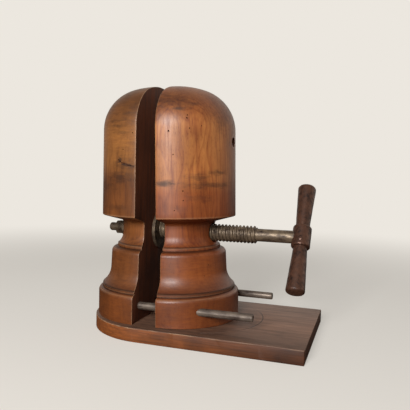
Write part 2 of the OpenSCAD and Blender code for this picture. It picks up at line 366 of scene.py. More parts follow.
def node(tree, kind, inputs=None, **settings):
    """Adds one node. settings are its own values, and inputs are its sockets' values or links."""
    new = tree.nodes.new(kind)
    for name, value in settings.items():
        setattr(new, name, value)
    for key, value in (inputs or {}).items():
        if isinstance(value, bpy.types.NodeSocket):
            tree.links.new(value, new.inputs[key])
        else:
            new.inputs[key].default_value = value
    return new


def blank_material(name):
    """A new material with a principled shader, and its object coordinates."""
    material = bpy.data.materials.new(name)
    material.use_nodes = True
    tree = material.node_tree
    tree.nodes.clear()
    shader = node(tree, "ShaderNodeBsdfPrincipled")
    node(tree, "ShaderNodeOutputMaterial", {"Surface": shader.outputs[0]})
    coordinates = node(tree, "ShaderNodeTexCoord").outputs["Object"]
    return material, tree, shader, coordinates


def set_ramp(ramp, stops):
    """Sets a colour ramp's stops from pairs of a place and red, green and blue."""
    elements = ramp.color_ramp.elements
    while len(elements) > 1:
        elements.remove(elements[-1])
    elements[0].position = stops[0][0]
    elements[0].color = (*stops[0][1], 1)
    for place, colour in stops[1:]:
        elements.new(place).color = (*colour, 1)


def arc(centre, radius, start, stop, steps):
    """Points on an arc, from one angle in degrees to another."""
    points = []
    for i in range(steps + 1):
        angle = math.radians(start + (stop - start) * i / steps)
        points.append((centre[0] + radius * math.cos(angle), centre[1] + radius * math.sin(angle)))
    return points


def stepped(points, longest):
    """The same outline with its long straights broken into shorter steps."""
    result = [points[0]]
    for start, stop in zip(points, points[1:]):
        length = math.dist(start, stop)
        count = max(1, math.ceil(length / longest))
        for i in range(1, count + 1):
            share = i / count
            result.append(tuple(a + (b - a) * share for a, b in zip(start, stop)))
    return result


FOOT_RING_H = 37.5 * MM
LOWER_BAND_H = 4 * MM
BELL_TOP_H = 93.3 * MM
BELL_ROUND_R = 6.5 * MM
BELL_TAPER = 0.9 * MM
UPPER_BAND_H = 4.6 * MM
RIM_ROUND_R = 1.5 * MM
THROAT_R = 5 * MM
LONGEST_STEP = 7 * MM
# How far the leaning half's outline is carried below the board's top before it is cut flat
FOOT_SPARE = 6 * MM
FOOT_GAP = 0.3 * MM


def turned_outline(t, below):
    """The outline of the block, from the foot to the crown."""
    q = t.quirk
    foot_round_r = t.base_r - t.lower_band_r + q
    flare_bottom_h = FOOT_RING_H + LOWER_BAND_H + 2 * q
    flare_end_r = t.lower_band_r - q
    flare_turn = math.acos(1 - (flare_end_r - t.waist_r) / t.flare_r)
    flare_h = flare_bottom_h + t.flare_r * math.sin(flare_turn)
    bell_top_r = t.waist_r - BELL_TAPER
    cove_end_r = t.upper_band_r - 3 * q
    cove_turn = math.acos(1 - (cove_end_r - t.neck_r) / t.neck_cove_r)
    cove_end_h = BELL_TOP_H + UPPER_BAND_H + 2.5 * q
    cove_h = cove_end_h + t.neck_cove_r * math.sin(cove_turn)
    slope = math.degrees(math.atan(t.rim_drop / (t.dome_r - t.neck_r - THROAT_R)))
    throat_h = t.rim_h - t.rim_drop - THROAT_R
    crown_h = t.shoulder_h - math.sqrt((t.crown_r - t.shoulder_r) ** 2 - (t.dome_r - t.shoulder_r) ** 2)
    crown_turn = math.degrees(math.acos((t.dome_r - t.shoulder_r) / (t.crown_r - t.shoulder_r)))
    flare_deg = math.degrees(flare_turn)
    cove_deg = math.degrees(cove_turn)
    points = [(0, -below), (t.base_r, -below)]
    points += arc((t.base_r - foot_round_r, FOOT_RING_H - foot_round_r), foot_round_r, 0, 90, 10)
    points += [
        (t.lower_band_r - q, FOOT_RING_H + q),
        (t.lower_band_r, FOOT_RING_H + 2 * q),
        (t.lower_band_r, FOOT_RING_H + LOWER_BAND_H),
        (flare_end_r - q, FOOT_RING_H + LOWER_BAND_H + q),
    ]
    points += arc((t.waist_r + t.flare_r, flare_h), t.flare_r, 180 + flare_deg, 180, 14)
    points += arc((bell_top_r - BELL_ROUND_R, BELL_TOP_H - BELL_ROUND_R), BELL_ROUND_R, 0, 80, 9)
    points += [
        (t.upper_band_r - q, BELL_TOP_H + q),
        (t.upper_band_r, BELL_TOP_H + 2 * q),
        (t.upper_band_r, BELL_TOP_H + UPPER_BAND_H),
        (t.upper_band_r - q, BELL_TOP_H + UPPER_BAND_H + q),
    ]
    points += arc((t.neck_r + t.neck_cove_r, cove_h), t.neck_cove_r, 180 + cove_deg, 180, 10)
    points += arc((t.neck_r + THROAT_R, throat_h), THROAT_R, 180, 90 + slope, 6)
    points += arc((t.dome_r - RIM_ROUND_R, t.rim_h + RIM_ROUND_R), RIM_ROUND_R, -90 + slope, 0, 5)
    points += arc((t.dome_r - t.shoulder_r, t.shoulder_h), t.shoulder_r, 0, crown_turn, 24)
    points += arc((0, crown_h), t.crown_r, crown_turn, 90, 10)
    points[-1] = (0, points[-1][1])
    return stepped(points, LONGEST_STEP)


def form_place(t, moving):
    """Where a half's own upright frame lies: the axis of the lathe is Z, and the board's top is at zero."""
    if not moving:
        return Matrix.Translation((0, 0, BOARD_HIGH.z))
    lean = Matrix.Rotation(-t.lean, 4, "Y")
    return Matrix.Translation((t.gap, 0, ROD_Z)) @ lean @ Matrix.Translation((0, 0, BOARD_HIGH.z - ROD_Z))


# Woodworm holes and dents: angle round the axis in degrees, height above the board and diameter
FIXED_HOLES = (
    (-93.5, 247, 1.1),
    (-104, 226, 0.9),
    (-121, 262, 0.9),
    (-118, 181, 1.0),
    (-171, 236, 1.2),
    (160, 215, 1.0),
    (142, 254, 1.2),
    (118, 190, 0.9),
    (-112, 24, 1.0),
    (-140, 70, 0.9),
    (-178, 66, 1.0),
)
MOVING_HOLES = (
    (-77.4, 248.6, 1.7),
    (-60.1, 268.7, 1.3),
    (-60.6, 264.9, 1.5),
    (-58.5, 252.4, 1.2),
    (-73.4, 219.4, 1.1),
    (-64.7, 173.9, 1.4),
    (-64.5, 161.6, 1.0),
    (-47.2, 255.6, 1.1),
    (-72.6, 149.2, 1.0),
    (-27, 226, 0.9),
    (12, 243, 1.1),
    (41, 206, 1.2),
    (66, 262, 1.0),
    (78, 176, 1.1),
    (-33.5, 76, 1.3),
    (-39, 62, 1.0),
    (-52, 24, 1.0),
    (38, 58, 1.1),
)
HOLE_DEPTH = 5 * MM
# Steps of the crack in the fixed half's dome: angle, height
CRACK = (
    (-110.5, 213), (-107.4, 212), (-105.8, 209), (-101.2, 208.4), (-98.8, 206), (-94.6, 205.6), (-91, 203.6)
)
CRACK_WIDTH = 0.9 * MM
CRACK_DEPTH = 4 * MM

PEG_HOLE_R = 6.5 * MM
PEG_HOLE_X = 82 * MM
PEG_HOLE_Z = 259.5 * MM
ROD_RUNNING = 0.05 * MM
TAIL_SEAT_R = 14 * MM
TAIL_SEAT_REACH = 12 * MM
NECK_HOLE_R = 14 * MM
NUT_HUB_R = 17 * MM
NUT_FLANGE = 5 * MM
NUT_RECESS = 4 * MM


def surface_point(outline, angle, height):
    """The point of the turned surface at an angle and a height, in the block's own frame."""
    above = [p for p in outline if p[1] >= height and p[0] > 0]
    radius = min(above, key=lambda p: p[1])[0]
    turn = math.radians(angle)
    return Vector((radius * math.cos(turn), radius * math.sin(turn), height))


def worm_holes(t, holes, moving):
    """One cutting tool of thin pins, which lean a little as the beetles' tunnels do."""
    outline = [p for p in turned_outline(t, 0) if p[1] > 0]
    pins = []
    for angle, height, width in holes:
        point = form_place(t, moving) @ surface_point(outline, angle, height * MM)
        inward = Vector((-math.cos(math.radians(angle)), -math.sin(math.radians(angle)), 0))
        tilt = Vector(noise.noise_vector(point / MM)) * 0.35
        turn = (inward + tilt).to_track_quat("Z", "Y").to_matrix().to_4x4()
        deselect()
        bpy.ops.mesh.primitive_cone_add(
            vertices=9, radius1=0.8 * width * MM, radius2=0.5 * width * MM, depth=2 * HOLE_DEPTH
        )
        pin = named("worm_pin")
        put(pin, Matrix.Translation(point) @ turn)
        pins.append(pin)
    return joined("worm_pins", pins)


def crack_tool(t):
    """A thin jagged blade that opens the drying crack."""
    outline = [p for p in turned_outline(t, 0) if p[1] > 0]
    deselect()
    bpy.ops.mesh.primitive_plane_add(size=MM)
    blade = named("crack_blade")
    bpy.ops.object.mode_set(mode="EDIT")
    bpy.ops.mesh.select_mode(type="VERT")
    bpy.ops.mesh.select_all(action="SELECT")
    bpy.ops.mesh.merge(type="CENTER")
    outward = 1 + PAST / t.dome_r
    places = []
    for angle, height in CRACK:
        point = surface_point(outline, angle, height * MM)
        places.append(Vector((point.x * outward, point.y * outward, point.z)))
    bpy.ops.transform.translate(value=places[0])
    for before, after in zip(places, places[1:]):
        bpy.ops.mesh.extrude_region_move(TRANSFORM_OT_translate={"value": after - before})
    bpy.ops.mesh.select_all(action="SELECT")
    bpy.ops.mesh.extrude_region_move(TRANSFORM_OT_translate={"value": (0, CRACK_DEPTH, -CRACK_DEPTH / 4)})
    bpy.ops.object.mode_set(mode="OBJECT")
    modify(blade, "SOLIDIFY", thickness=CRACK_WIDTH, offset=0)
    put(blade, form_place(t, False))
    close_up(blade)
    return blade


def sawn_half(t, name, blank, moving):
    """One half of the turned block: sawn along the axis, its arrises rubbed, and put in its place."""
    deselect()
    blank.select_set(True)
    bpy.context.view_layer.objects.active = blank
    bpy.ops.object.duplicate()
    half = named(name)
    edit(half)
    bpy.ops.mesh.select_all(action="SELECT")
    bpy.ops.mesh.bisect(
        plane_co=(0, 0, 0), plane_no=(1, 0, 0), use_fill=True, threshold=WELD,
        clear_outer=not moving, clear_inner=moving
    )
    bpy.ops.object.mode_set(mode="OBJECT")
    close_up(half)

    def on_saw_line(edge):
        flat = [
            f for f in edge.link_faces if abs(f.normal.x) > 0.999 and abs(f.calc_center_median().x) < WELD
        ]
        return len(flat) == 1 and all(abs(v.co.x) < WELD for v in edge.verts)

    soften(half, t.arris_r, 3, on_saw_line, uneven=0.75, scale=16 * MM)
    give_slots(half, 2)
    for polygon in half.data.polygons:
        polygon.material_index = 1 if abs(polygon.normal.x) > 0.999 and abs(polygon.center.x) < WELD else 0
    put(half, form_place(t, moving))
    if moving:
        edit(half)
        bpy.ops.mesh.select_all(action="SELECT")
        bpy.ops.mesh.bisect(
            plane_co=(0, 0, BOARD_HIGH.z + FOOT_GAP), plane_no=(0, 0, 1), use_fill=True,
            threshold=WELD, clear_inner=True
        )
        bpy.ops.object.mode_set(mode="OBJECT")
        close_up(half)
    foot_z = min(v.co.z for v in half.data.vertices)

    def on_foot(edge):
        under = [f for f in edge.link_faces if f.normal.z < -0.999]
        return len(under) == 1 and all(abs(v.co.z - foot_z) < WELD for v in edge.verts)

    soften(half, 0.6 * MM, 2, on_foot, uneven=0.6)
    return half


def bored(half, tools):
    """Cuts the bores one after another. Their walls keep the look of sawn wood."""
    for tool in tools:
        give_slots(tool, 2)
        for polygon in tool.data.polygons:
            polygon.material_index = 1
        combine(half, tool)


def rings_of_height(t):
    """Heights and half widths of the notches, which are dirty and carry painted shade, and of the ridges,
    which are rubbed pale and carry a painted highlight.
    """
    q = t.quirk
    band_low, band_high = FOOT_RING_H, FOOT_RING_H + LOWER_BAND_H
    collar_low, collar_high = BELL_TOP_H, BELL_TOP_H + UPPER_BAND_H
    notches = [
        (band_low + q, 1.3), (band_high + q, 1.2), (collar_low + 0.4 * q, 1.2), (collar_high + 1.5 * q, 1.3)
    ]
    ridges = [
        (band_low - 2.2 * MM, 1.2), (band_low + 3.5 * q, 1.0), (band_high - 1 * q, 0.8),
        (collar_high - q, 0.9)
    ]
    ridges.append((t.rim_h + RIM_ROUND_R, 1.5))
    return [(h, w * MM) for h, w in notches], [(h, w * MM) for h, w in ridges]


def height_stops(rings, top):
    """Stops of a grey ramp that is white on each ring of height and black between."""
    stops = [(0.0, (0, 0, 0))]
    for height, half_width in sorted(rings):
        for shift, value in ((-1.0, 0.0), (-0.35, 1.0), (0.35, 1.0), (1.0, 0.0)):
            stops.append(((height + shift * half_width) / top, (value, value, value)))
    return stops


# Colour by height above the board in millimetres: share of red, green and blue that is left. The low shares
# are a deeper stain on the crown, stain and painted shade on the foot, the bell and under the rim, and
# painted shade at the dip just above the lower band.
MOVING_STAIN_AND_SHADE = (
    (0, (0.44, 0.31, 0.28)),
    (34, (0.46, 0.32, 0.29)),
    (43, (0.3, 0.2, 0.18)),
    (50, (0.42, 0.3, 0.28)),
    (60, (0.58, 0.42, 0.38)),
    (90, (0.5, 0.34, 0.3)),
    (134, (0.6, 0.4, 0.34)),
    (140, (0.58, 0.4, 0.36)),
    (170, (0.66, 0.48, 0.42)),
    (190, (0.96, 0.9, 0.88)),
    (256, (1.06, 1.06, 1.1)),
    (272, (0.66, 0.56, 0.54)),
    (290, (0.44, 0.36, 0.36)),
    (318, (0.54, 0.5, 0.54)),
)
FIXED_STAIN_AND_SHADE = (
    (0, (0.62, 0.44, 0.4)),
    (34, (0.64, 0.46, 0.4)),
    (43, (0.45, 0.33, 0.32)),
    (50, (0.66, 0.54, 0.58)),
    (90, (0.74, 0.58, 0.54)),
    (134, (0.98, 0.84, 0.84)),
    (140, (0.7, 0.58, 0.58)),
    (168, (0.62, 0.52, 0.56)),
    (188, (0.62, 0.54, 0.6)),
    (206, (1.08, 1.06, 1.04)),
    (250, (1.18, 1.16, 1.16)),
    (270, (0.76, 0.7, 0.7)),
    (292, (0.5, 0.45, 0.46)),
    (318, (0.6, 0.58, 0.64)),
)
# Stains in the half's own frame: place and half size in millimetres, strength
MOVING_STAINS = (
    ((12, -78, 183), (20, 14, 5), 0.8),
    ((40, -68, 181), (14, 12, 4), 0.4),
    ((52, -60, 191), (20, 18, 6), 0.5),
    ((69, -38, 197), (14, 18, 4), 0.65),
    ((64, -47, 181), (40, 40, 5), 0.6),
    ((10, -68, 287), (44, 30, 13), 0.5),
    ((28, -70, 278), (12, 12, 4), 0.8),
    ((44, -60, 284), (18, 14, 4), 0.5),
    ((72, -30, 262), (12, 18, 20), 0.3),
    ((52, -62, 164), (26, 22, 5), 0.35),
    ((30, -73, 152), (10, 8, 4), 0.3),
    ((-10, 78, 184), (60, 20, 6), 0.5),
    ((60, 50, 183), (40, 40, 6), 0.5),
)
FIXED_STAINS = (
    ((-24, -76, 211), (5, 6, 7), 0.95),
    ((-17, -78, 207), (16, 8, 2.4), 0.95),
    ((-8, -79.5, 205), (14, 8, 2), 0.9),
    ((-20, -77, 206), (26, 14, 9), 0.5),
    ((-27, -76, 189), (34, 14, 9), 0.6),
    ((-36, -71, 264), (26, 14, 3.5), 0.5),
    ((-22, -76, 248), (22, 10, 3), 0.4),
    ((-30, -74, 256), (20, 10, 2.4), 0.45),
    ((-50, -62, 178), (24, 24, 10), 0.4),
    ((-20, -80, 272), (24, 14, 3.5), 0.45),
    ((-30, -72, 150), (24, 20, 5), 0.35),
    ((-4, -76, 290), (12, 20, 20), 0.4),
    ((-70, 20, 186), (30, 60, 8), 0.45),
    ((-40, 60, 262), (30, 30, 10), 0.3),
)
# The tree's middle lies behind the block, in millimetres, so the year rings cross its front as upright
# lines that close into arches on the shoulder
PITH = (-14, 118, 0)
RING_WIDTH = 3.6 * MM
YEAR_RING = ((0.0, (0, 0, 0)), (0.55, (0.25, 0.25, 0.25)), (0.86, (1, 1, 1)), (1.0, (0.1, 0.1, 0.1)))
# Height over which the fixed half's upright grain turns into its lying, wavy figure
LYING_FROM = 205 * MM
LYING_TO = 240 * MM
FOOT_LYING_FROM = 86 * MM
FOOT_LYING_TO = 98 * MM


def streaks(tree, vector, across, along, lying, detail, distortion):
    """Noise drawn out into streaks, upright ones or lying ones. Both sizes are in millimetres."""
    thin, long = 1 / (across * MM), 1 / (along * MM)
    scale = (long, long, thin) if lying else (thin, thin, long)
    space = node(tree, "ShaderNodeMapping", {"Vector": vector, "Scale": scale}).outputs[0]
    return node(
        tree,
        "ShaderNodeTexNoise",
        {"Vector": space, "Scale": 1.0, "Detail": detail, "Roughness": 0.6, "Distortion": distortion},
    ).outputs[0]


def stain_mask(tree, own, ragged, stains):
    """How dark the stains are: each is a soft ellipsoid with ragged edges."""
    darkening = None
    for centre, half_size, strength in stains:
        near = node(
            tree, "ShaderNodeVectorMath", {0: own, 1: Vector(centre) * MM}, operation="SUBTRACT"
        ).outputs[0]
        near = node(
            tree, "ShaderNodeVectorMath", {0: near, 1: [1 / (s * MM) for s in half_size]},
            operation="MULTIPLY"
        ).outputs[0]
        near = node(tree, "ShaderNodeVectorMath", {0: near}, operation="LENGTH").outputs["Value"]
        near = node(tree, "ShaderNodeMath", {0: ragged, 1: 2.4, 2: near}, operation="MULTIPLY_ADD").outputs[0]
        mask = node(
            tree,
            "ShaderNodeMapRange",
            {"Value": near, 1: 1.1, 2: 2.5, 3: strength, 4: 0.0},
            interpolation_type="SMOOTHSTEP",
        ).outputs[0]
        if darkening is None:
            darkening = mask
        else:
            darkening = node(tree, "ShaderNodeMath", {0: darkening, 1: mask}, operation="MAXIMUM").outputs[0]
    return darkening


def turned_wood(name, t, light, dark, grime_and_shade, arris, zones, stains, moving):
    """Beech, turned, stained and polished by hand, and handled for long. The close grain shows as upright
    streaks with short dark ray flecks, and the worn polish gives broad soft highlights with a dull sheen."""
    material, tree, shader, coordinates = blank_material(name)
    place = form_place(t, moving).inverted()
    own = node(
        tree,
        "ShaderNodeMapping",
        {"Vector": coordinates, "Location": place.to_translation(), "Rotation": place.to_euler()},
    ).outputs[0]
    split = node(tree, "ShaderNodeSeparateXYZ", {0: own})
    x, z = split.outputs["X"], split.outputs["Z"]
    top = t.shoulder_h + t.shoulder_r

    # Clouds of colour 45 mm across, broad streaks 8 mm wide, and fibres 2 mm wide, drawn coarser than
    # real ones so that they show
    clouds = node(
        tree, "ShaderNodeTexNoise", {"Vector": own, "Scale": 1 / (45 * MM), "Detail": 4.0, "Roughness": 0.6}
    ).outputs[0]
    figure = streaks(tree, own, 8, 90, False, 3.0, 0.8)
    fibres = streaks(tree, own, 2.0, 34, False, 3.0, 0.3)
    # The figure lies across the foot, and across the fixed half's dome
    lying = node(
        tree, "ShaderNodeMapRange", {"Value": z, 1: FOOT_LYING_TO, 2: FOOT_LYING_FROM, 3: 0.0, 4: 0.75}
    ).outputs[0]
    if not moving:
        above = node(tree, "ShaderNodeMapRange", {"Value": z, 1: LYING_FROM, 2: LYING_TO}).outputs[0]
        lying = node(tree, "ShaderNodeMath", {0: lying, 1: above}, operation="MAXIMUM").outputs[0]
    wavy = streaks(tree, own, 5, 22, True, 4.0, 1.6)
    figure = node(tree, "ShaderNodeMix", {0: lying, 2: figure, 3: wavy}).outputs[0]
    fine = streaks(tree, own, 1.7, 15, True, 3.0, 0.8)
    fibres = node(tree, "ShaderNodeMix", {0: lying, 2: fibres, 3: fine}).outputs[0]
    # Year rings 3.6 mm wide, which drift and wobble
    ring = node(tree, "ShaderNodeVectorMath", {0: own, 1: Vector(PITH) * MM}, operation="SUBTRACT").outputs[0]
    ring = node(tree, "ShaderNodeVectorMath", {0: ring, 1: (1, 1, 0)}, operation="MULTIPLY").outputs[0]
    ring = node(tree, "ShaderNodeVectorMath", {0: ring}, operation="LENGTH").outputs["Value"]
    drift = streaks(tree, own, 38, 120, False, 2.0, 0.0)
    ring = node(tree, "ShaderNodeMath", {0: drift, 1: 22 * MM, 2: ring}, operation="MULTIPLY_ADD").outputs[0]
    ring = node(
        tree, "ShaderNodeMath", {0: fibres, 1: 2.2 * MM, 2: ring}, operation="MULTIPLY_ADD"
    ).outputs[0]
    ring = node(tree, "ShaderNodeMath", {0: ring, 1: RING_WIDTH}, operation="DIVIDE").outputs[0]
    ring = node(tree, "ShaderNodeMath", {0: ring}, operation="FRACT").outputs[0]
    year = node(tree, "ShaderNodeValToRGB", {0: ring})
    set_ramp(year, YEAR_RING)
    # Ray flecks: short upright dashes about 1 mm by 4 mm, in patches
    fleck_space = node(
        tree, "ShaderNodeMapping", {"Vector": own, "Scale": (1 / (2.1 * MM), 1 / (2.1 * MM), 1 / (6.5 * MM))}
    ).outputs[0]
    flecks = node(tree, "ShaderNodeTexVoronoi", {"Vector": fleck_space, "Scale": 1.0, "Randomness": 1.0})
    fleck = node(
        tree, "ShaderNodeMapRange", {"Value": flecks.outputs["Distance"], 1: 0.14, 2: 0.34, 3: 1.0, 4: 0.0}
    ).outputs[0]
    patchy = node(tree, "ShaderNodeMapRange", {"Value": clouds, 1: 0.42, 2: 0.6, 3: 0.1, 4: 0.6}).outputs[0]
    fleck = node(tree, "ShaderNodeMath", {0: fleck, 1: patchy}, operation="MULTIPLY").outputs[0]

    blend = node(tree, "ShaderNodeMath", {0: figure, 1: 0.5, 2: 0.0}, operation="MULTIPLY_ADD").outputs[0]
    blend = node(tree, "ShaderNodeMath", {0: fibres, 1: 0.5, 2: blend}, operation="MULTIPLY_ADD").outputs[0]
    blend = node(tree, "ShaderNodeMapRange", {"Value": blend, 1: 0.34, 2: 0.66, 3: 0.0, 4: 0.72}).outputs[0]
    faint = node(tree, "ShaderNodeMapRange", {"Value": lying, 3: 0.42, 4: 0.12}).outputs[0]
    blend = node(
        tree, "ShaderNodeMath", {0: year.outputs[0], 1: faint, 2: blend}, operation="MULTIPLY_ADD"
    ).outputs[0]
    blend = node(
        tree, "ShaderNodeMath", {0: fleck, 1: 0.6, 2: blend}, operation="MULTIPLY_ADD", use_clamp=True
    )
    colour = node(
        tree, "ShaderNodeMix", {0: blend.outputs[0], 6: light, 7: dark}, data_type="RGBA"
    ).outputs[2]

    # Darker by height than the dome, which hats have rubbed: deeper stain on the crown, stain and painted
    # shade on the foot, the bell and under the rim, and painted shade in the hollow above the lower band
    height = node(tree, "ShaderNodeMath", {0: clouds, 1: 16 * MM, 2: z}, operation="MULTIPLY_ADD").outputs[0]
    height = node(tree, "ShaderNodeMath", {0: height, 1: 8 * MM}, operation="SUBTRACT").outputs[0]
    share = node(tree, "ShaderNodeMath", {0: height, 1: top}, operation="DIVIDE").outputs[0]
    zone = node(tree, "ShaderNodeValToRGB", {0: share})
    set_ramp(zone, [(h * MM / top, depth) for h, depth in zones])
    shade = node(tree, "ShaderNodeMapRange", {"Value": clouds, 1: 0.34, 2: 0.68, 3: 1.16, 4: 0.74}).outputs[0]
    for factor in (zone.outputs[0], shade):
        colour = node(
            tree, "ShaderNodeMix", {0: 1.0, 6: colour, 7: factor}, data_type="RGBA", blend_type="MULTIPLY"
        ).outputs[2]

    # Dark stains, and dirty notches beside the bands that also carry painted shade
    ragged = streaks(tree, own, 3.5, 11, True, 4.0, 0.4)
    darkening = stain_mask(tree, own, ragged, stains)
    notches, ridges = rings_of_height(t)
    share = node(tree, "ShaderNodeMath", {0: z, 1: top}, operation="DIVIDE").outputs[0]
    notch = node(tree, "ShaderNodeValToRGB", {0: share})
    set_ramp(notch, height_stops(notches, top))
    ridge = node(tree, "ShaderNodeValToRGB", {0: share})
    set_ramp(ridge, height_stops(ridges, top))
    notch = node(tree, "ShaderNodeMath", {0: notch.outputs[0], 1: 0.8}, operation="MULTIPLY").outputs[0]
    darkening = node(tree, "ShaderNodeMath", {0: darkening, 1: notch}, operation="MAXIMUM").outputs[0]
    colour = node(tree, "ShaderNodeMix", {0: darkening, 6: colour, 7: grime_and_shade}, data_type="RGBA").outputs[2]

    # Rubbed pale, partly wear and partly painted highlight: the arrises beside the saw cut, and the ridges of
    # the bands
    distance = node(tree, "ShaderNodeMath", {0: x}, operation="ABSOLUTE").outputs[0]
    edge = node(
        tree, "ShaderNodeMapRange", {"Value": distance, 1: 0.25 * MM, 2: 0.65 * MM, 3: 1.0, 4: 0.0}
    ).outputs[0]
    edge = node(tree, "ShaderNodeMath", {0: edge, 1: ragged}, operation="MULTIPLY").outputs[0]
    ridge = node(tree, "ShaderNodeMath", {0: ridge.outputs[0], 1: ragged}, operation="MULTIPLY").outputs[0]
    ridge = node(tree, "ShaderNodeMath", {0: ridge, 1: 0.5}, operation="MULTIPLY").outputs[0]
    rubbed = node(tree, "ShaderNodeMath", {0: edge, 1: ridge}, operation="MAXIMUM").outputs[0]
    colour = node(tree, "ShaderNodeMix", {0: rubbed, 6: colour, 7: arris}, data_type="RGBA").outputs[2]
    tree.links.new(colour, shader.inputs["Base Color"])

    roughness = node(
        tree, "ShaderNodeMapRange", {"Value": fibres, 1: 0.3, 2: 0.7, 3: 0.37, 4: 0.5}
    ).outputs[0]
    roughness = node(
        tree, "ShaderNodeMath", {0: darkening, 1: 0.15, 2: roughness}, operation="MULTIPLY_ADD"
    ).outputs[0]
    tree.links.new(roughness, shader.inputs["Roughness"])
    shader.inputs["IOR"].default_value = 1.5

    # Relief: open fibres 0.05 mm deep, sunken flecks, and a slight unevenness left by the tool
    uneven = node(
        tree, "ShaderNodeTexNoise", {"Vector": own, "Scale": 1 / (14 * MM), "Detail": 1.0}
    ).outputs[0]
    relief = node(tree, "ShaderNodeMath", {0: fleck, 1: -0.5, 2: fibres}, operation="MULTIPLY_ADD").outputs[0]
    relief = node(tree, "ShaderNodeMath", {0: uneven, 1: 1.5, 2: relief}, operation="MULTIPLY_ADD").outputs[0]
    bump = node(tree, "ShaderNodeBump", {"Height": relief, "Strength": 0.6, "Distance": 0.12 * MM})
    tree.links.new(bump.outputs[0], shader.inputs["Normal"])
    return material


def sawn_wood(name, colour_value, grime_and_shade):
    """The same beech on the faces of the saw cut: never polished, browned by air and hands, and dull.
    Faint upright ridges of the saw cross it."""
    material, tree, shader, coordinates = blank_material(name)
    space = node(
        tree,
        "ShaderNodeMapping",
        {"Vector": coordinates, "Scale": (1 / (5 * MM), 1 / (5 * MM), 1 / (70 * MM))},
    ).outputs[0]
    grain = node(tree, "ShaderNodeTexNoise", {"Vector": space, "Scale": 1.0, "Detail": 4.0})
    clouds = node(tree, "ShaderNodeTexNoise", {"Vector": coordinates, "Scale": 1 / (60 * MM), "Detail": 3.0})
    # Saw marks: upright ridges 3 mm apart
    marks = node(
        tree,
        "ShaderNodeTexWave",
        {"Vector": coordinates, "Scale": 2 * math.pi / 20 / (3 * MM), "Distortion": 3.0, "Detail": 2.0},
        bands_direction="Y",
    )
    part = node(
        tree, "ShaderNodeMath", {0: grain.outputs[0], 1: clouds.outputs[0]}, operation="MULTIPLY"
    ).outputs[0]
    part = node(tree, "ShaderNodeMapRange", {"Value": part, 1: 0.14, 2: 0.4, 3: 0.65, 4: 0.0}).outputs[0]
    colour = node(tree, "ShaderNodeMix", {0: part, 6: colour_value, 7: grime_and_shade}, data_type="RGBA").outputs[2]
    tree.links.new(colour, shader.inputs["Base Color"])
    shader.inputs["IOR"].default_value = 1.45
    roughness = node(tree, "ShaderNodeMapRange", {"Value": grain.outputs[0], 3: 0.62, 4: 0.82}).outputs[0]
    tree.links.new(roughness, shader.inputs["Roughness"])
    relief = node(
        tree, "ShaderNodeMath", {0: marks.outputs[1], 1: 0.4, 2: grain.outputs[0]}, operation="MULTIPLY_ADD"
    ).outputs[0]
    bump = node(tree, "ShaderNodeBump", {"Height": relief, "Strength": 0.5, "Distance": 0.2 * MM})
    tree.links.new(bump.outputs[0], shader.inputs["Normal"])
    return material


WEAR_ARC_R = 84 * MM
WEAR_ARC_X = 68.7 * MM
WEAR_ARC_FROM = math.radians(-27)
WEAR_ARC_TO = math.radians(20)
# Pale chips in the board's front edge: place along the edge and height
CHIPS = ((6.5, 1.2, 1.3), (29.2, 12.3, 0.9), (61, 17.8, 1.0), (118, 18.2, 1.2), (171, 1.0, 1.4))


